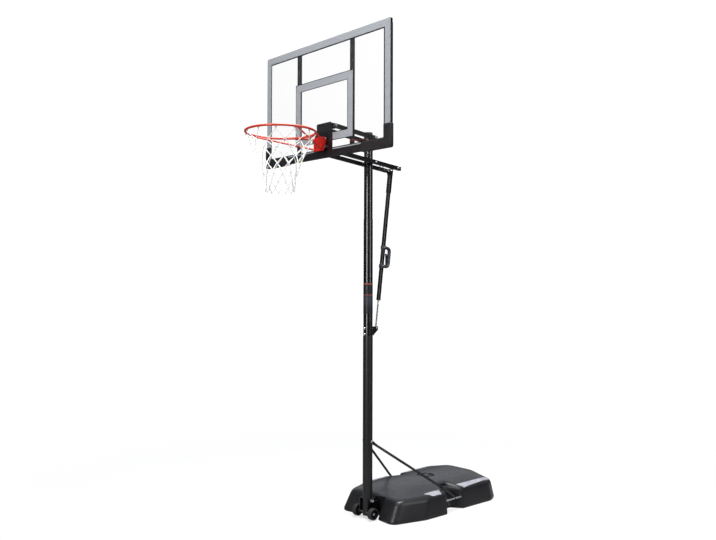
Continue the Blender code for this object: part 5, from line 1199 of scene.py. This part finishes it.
def makePrint():
    s = printSettings
    face, film = boardFace, s["film"]
    half, top, inset = s["halfWidth"], s["top"], s["border"]
    barTop = boardLow + s["bar"] + s["gap"]
    wide, rim = s["targetHalf"], s["outline"]
    low, high = boardLow + s["targetLow"], boardLow + s["targetHigh"]
    inner = rim + s["band"]
    rings = (
        # ink, left, right, low, high, width, width of the low edge, corner radius
        ("silverInk", -half, half, barTop, top, inset, s["lowBorder"], s["corner"]),
        ("blackInk", -half + inset, half - inset, barTop + s["lowBorder"], top - inset, s["line"],
         s["line"] * s["thinLine"], 0),
        ("blackInk", -wide, wide, low, high, rim, rim, 0),
        ("silverInk", -wide + rim, wide - rim, low + rim, high - rim, s["band"], s["band"], 0),
        ("blackInk", -wide + inner, wide - inner, low + inner, high - inner, rim, rim, 0),
    )
    films = {"silverInk": bmesh.new(), "blackInk": bmesh.new()}
    for ink, left, right, bottom, upper, width, lowWidth, corner in rings:
        outer = framed(left, right, bottom, upper)
        hole = framed(left + width, right - width, bottom + lowWidth, upper - width)
        if corner:
            outer = roundCorners(outer, [0, 0, corner, corner], 6)
            hole = roundCorners(hole, [0, 0, corner * 0.2, corner * 0.2], 6)
        hollowSlab(films[ink], outer, hole, face - film, face, alongY)
    for ink, sheet in films.items():
        closeMesh(sheet, ink + "Print", "board", ink)
    patch = roundCorners(framed(-s["patchHalf"], s["patchHalf"], barTop, boardLow + s["patchTop"]),
                         [0, 0, 0.006, 0.006], 5)
    closeMesh(slab(bmesh.new(), patch, face - film * 1.6, face - film * 1.05, alongY), "mountPatchPrint",
              "board", "blackInk")


makePrint()
print("board print made")


# floor, light and camera

floorSettings = {"radius": 60, "near": 1.0, "far": 4.5, "albedo": "#9a9a9a", "nearGlow": 0.56,
                 "farGlow": 0.10, "farSeen": 0.92}


def plainSight(tree):
    # 1 for what is seen directly or through the clear sheet, 0 for what is mirrored or only sheds light
    path = addNode(tree, "ShaderNodeLightPath")
    through = addNode(tree, "ShaderNodeMath", {"operation": "MAXIMUM"},
                      {0: path.outputs["Is Camera Ray"], 1: path.outputs["Is Transmission Ray"]})
    straight = addNode(tree, "ShaderNodeMath", {"operation": "LESS_THAN", 1: 0.5},
                       {0: path.outputs["Glossy Depth"]})
    return addNode(tree, "ShaderNodeMath", {"operation": "MULTIPLY"}, {0: through.outputs[0],
                                                                       1: straight.outputs[0]}).outputs[0]


def makeFloor():
    s = floorSettings
    bm = bmesh.new()
    bmesh.ops.create_circle(bm, cap_ends=True, segments=96, radius=s["radius"])
    floor = addObject("studioFloor", meshFrom(bm, "studioFloor"))
    # matt sweep: lifted to paper white where it is seen, fading into the lit backdrop a few metres out
    finish, tree, shader, place = newFinish("studioSweep",
                                            {"Base Color": hexToLinear(s["albedo"]), "Roughness": 0.9,
                                             "Specular IOR Level": 0.2})
    seen = plainSight(tree)
    distance = addNode(tree, "ShaderNodeVectorMath", {"operation": "LENGTH"}, {0: place}).outputs["Value"]
    fade = addNode(tree, "ShaderNodeMapRange", {"interpolation_type": "SMOOTHSTEP", "From Min": s["near"],
                   "From Max": s["far"]}, {"Value": distance}).outputs["Result"]
    nearGlow = addNode(tree, "ShaderNodeMath", {"operation": "MULTIPLY", 1: s["nearGlow"]}, {0: seen})
    farGlow = addNode(tree, "ShaderNodeMath",
                      {"operation": "MULTIPLY_ADD", 1: s["farSeen"], 2: s["farGlow"]}, {0: seen})
    lift = addNode(tree, "ShaderNodeEmission", {}, {"Strength": nearGlow.outputs[0]})
    both = addNode(tree, "ShaderNodeAddShader", {}, {0: shader.outputs["BSDF"], 1: lift.outputs["Emission"]})
    glow = addNode(tree, "ShaderNodeEmission", {}, {"Strength": farGlow.outputs[0]})
    joined = addNode(tree, "ShaderNodeMixShader", {},
                     {0: fade, 1: both.outputs[0], 2: glow.outputs["Emission"]})
    tree.links.new(joined.outputs[0], tree.nodes["Material Output"].inputs["Surface"])
    floor.data.materials.append(finish)


skySettings = {"seen": 1.08, "tint": "#e9edf5", "low": 0.12, "high": 0.30, "dim": 0.04, "bright": 0.25,
               "back": (-0.70, 0.67, 0.32), "backStart": 0.80, "backEnd": 0.97, "backBright": 0.75}


def makeSky():
    # a white backdrop; what the stand mirrors is dim at eye level, brighter overhead and brightest behind it
    s = skySettings
    world = bpy.data.worlds.new("studio")
    world.use_nodes = True
    bpy.context.scene.world = world
    tree = world.node_tree
    backdrop = tree.nodes["Background"]
    backdrop.inputs["Color"].default_value = (1, 1, 1, 1)
    backdrop.inputs["Strength"].default_value = s["seen"]
    ways = addNode(tree, "ShaderNodeTexCoord").outputs["Generated"]
    parts = addNode(tree, "ShaderNodeSeparateXYZ", {}, {0: ways})
    rise = addNode(tree, "ShaderNodeMapRange", {"interpolation_type": "SMOOTHSTEP", "From Min": s["low"],
                   "From Max": s["high"]}, {"Value": parts.outputs["Z"]})
    near = addNode(tree, "ShaderNodeVectorMath", {"operation": "DOT_PRODUCT",
                   1: Vector(s["back"]).normalized()}, {0: ways})
    lobe = addNode(tree, "ShaderNodeMapRange", {"interpolation_type": "SMOOTHSTEP",
                                                "From Min": s["backStart"], "From Max": s["backEnd"],
                                                "To Min": s["bright"],
                                                "To Max": s["bright"] + s["backBright"]},
                   {"Value": near.outputs["Value"]})
    glow = addNode(tree, "ShaderNodeMath", {"operation": "MULTIPLY"}, {0: rise.outputs["Result"],
                                                                       1: lobe.outputs["Result"]})
    strength = addNode(tree, "ShaderNodeMath", {"operation": "ADD", 1: s["dim"]}, {0: glow.outputs[0]})
    room = addNode(tree, "ShaderNodeBackground", {"Color": hexToLinear(s["tint"])},
                   {"Strength": strength.outputs[0]})
    joined = addNode(tree, "ShaderNodeMixShader", {}, {0: plainSight(tree), 1: room.outputs["Background"],
                                                       2: backdrop.outputs["Background"]})
    tree.links.new(joined.outputs[0], tree.nodes["World Output"].inputs["Surface"])


lampSettings = {
    # place, aim, width, height, watts
    "stripLeft": ((1.15, -4.66, 2.9), (0, 0, 2.9), 1.1, 3.4, 125),
    "stripRight": ((4.9, 0.95, 3.05), (0, 0, 3.05), 1.0, 3.1, 50),
    "overhead": ((0.6, -0.2, 6.2), (0, 0.3, 0), 3.2, 3.2, 530),
}


def makeLamps():
    for name, (place, aim, width, height, watts) in lampSettings.items():
        lamp = bpy.data.lights.new(name, "AREA")
        lamp.shape = "RECTANGLE"
        lamp.size = width
        lamp.size_y = height
        lamp.energy = watts
        holder = addObject(name, lamp)
        holder.location = place
        holder.rotation_euler = (Vector(aim) - Vector(place)).to_track_quat("-Z", "Y").to_euler()


cameraSettings = {"lens": 38.165, "place": (4.0554, -4.0071, 1.7203), "azimuth": 46.3947, "pitch": 1.1658,
                  "roll": 0.1769}


def makeCamera():
    s = cameraSettings
    a, e, r = [math.radians(s[key]) for key in ("azimuth", "pitch", "roll")]
    ahead = Vector((-math.sin(a) * math.cos(e), math.cos(a) * math.cos(e), math.sin(e)))
    right = Vector((math.cos(a), math.sin(a), 0))
    up = right.cross(ahead)
    right, up = right * math.cos(r) + up * math.sin(r), up * math.cos(r) - right * math.sin(r)
    lens = bpy.data.cameras.new("photoCamera")
    lens.lens = s["lens"]
    lens.sensor_width = 36
    lens.sensor_fit = "HORIZONTAL"
    lens.clip_end = 300
    camera = addObject("photoCamera", lens)
    turned = Matrix((right, up, -ahead)).transposed().to_4x4()
    camera.matrix_world = Matrix.Translation(s["place"]) @ turned
    bpy.context.scene.camera = camera


makeFloor()
makeSky()
makeLamps()
makeCamera()
bpy.context.scene.view_settings.view_transform = "Standard"
print("stage ready")
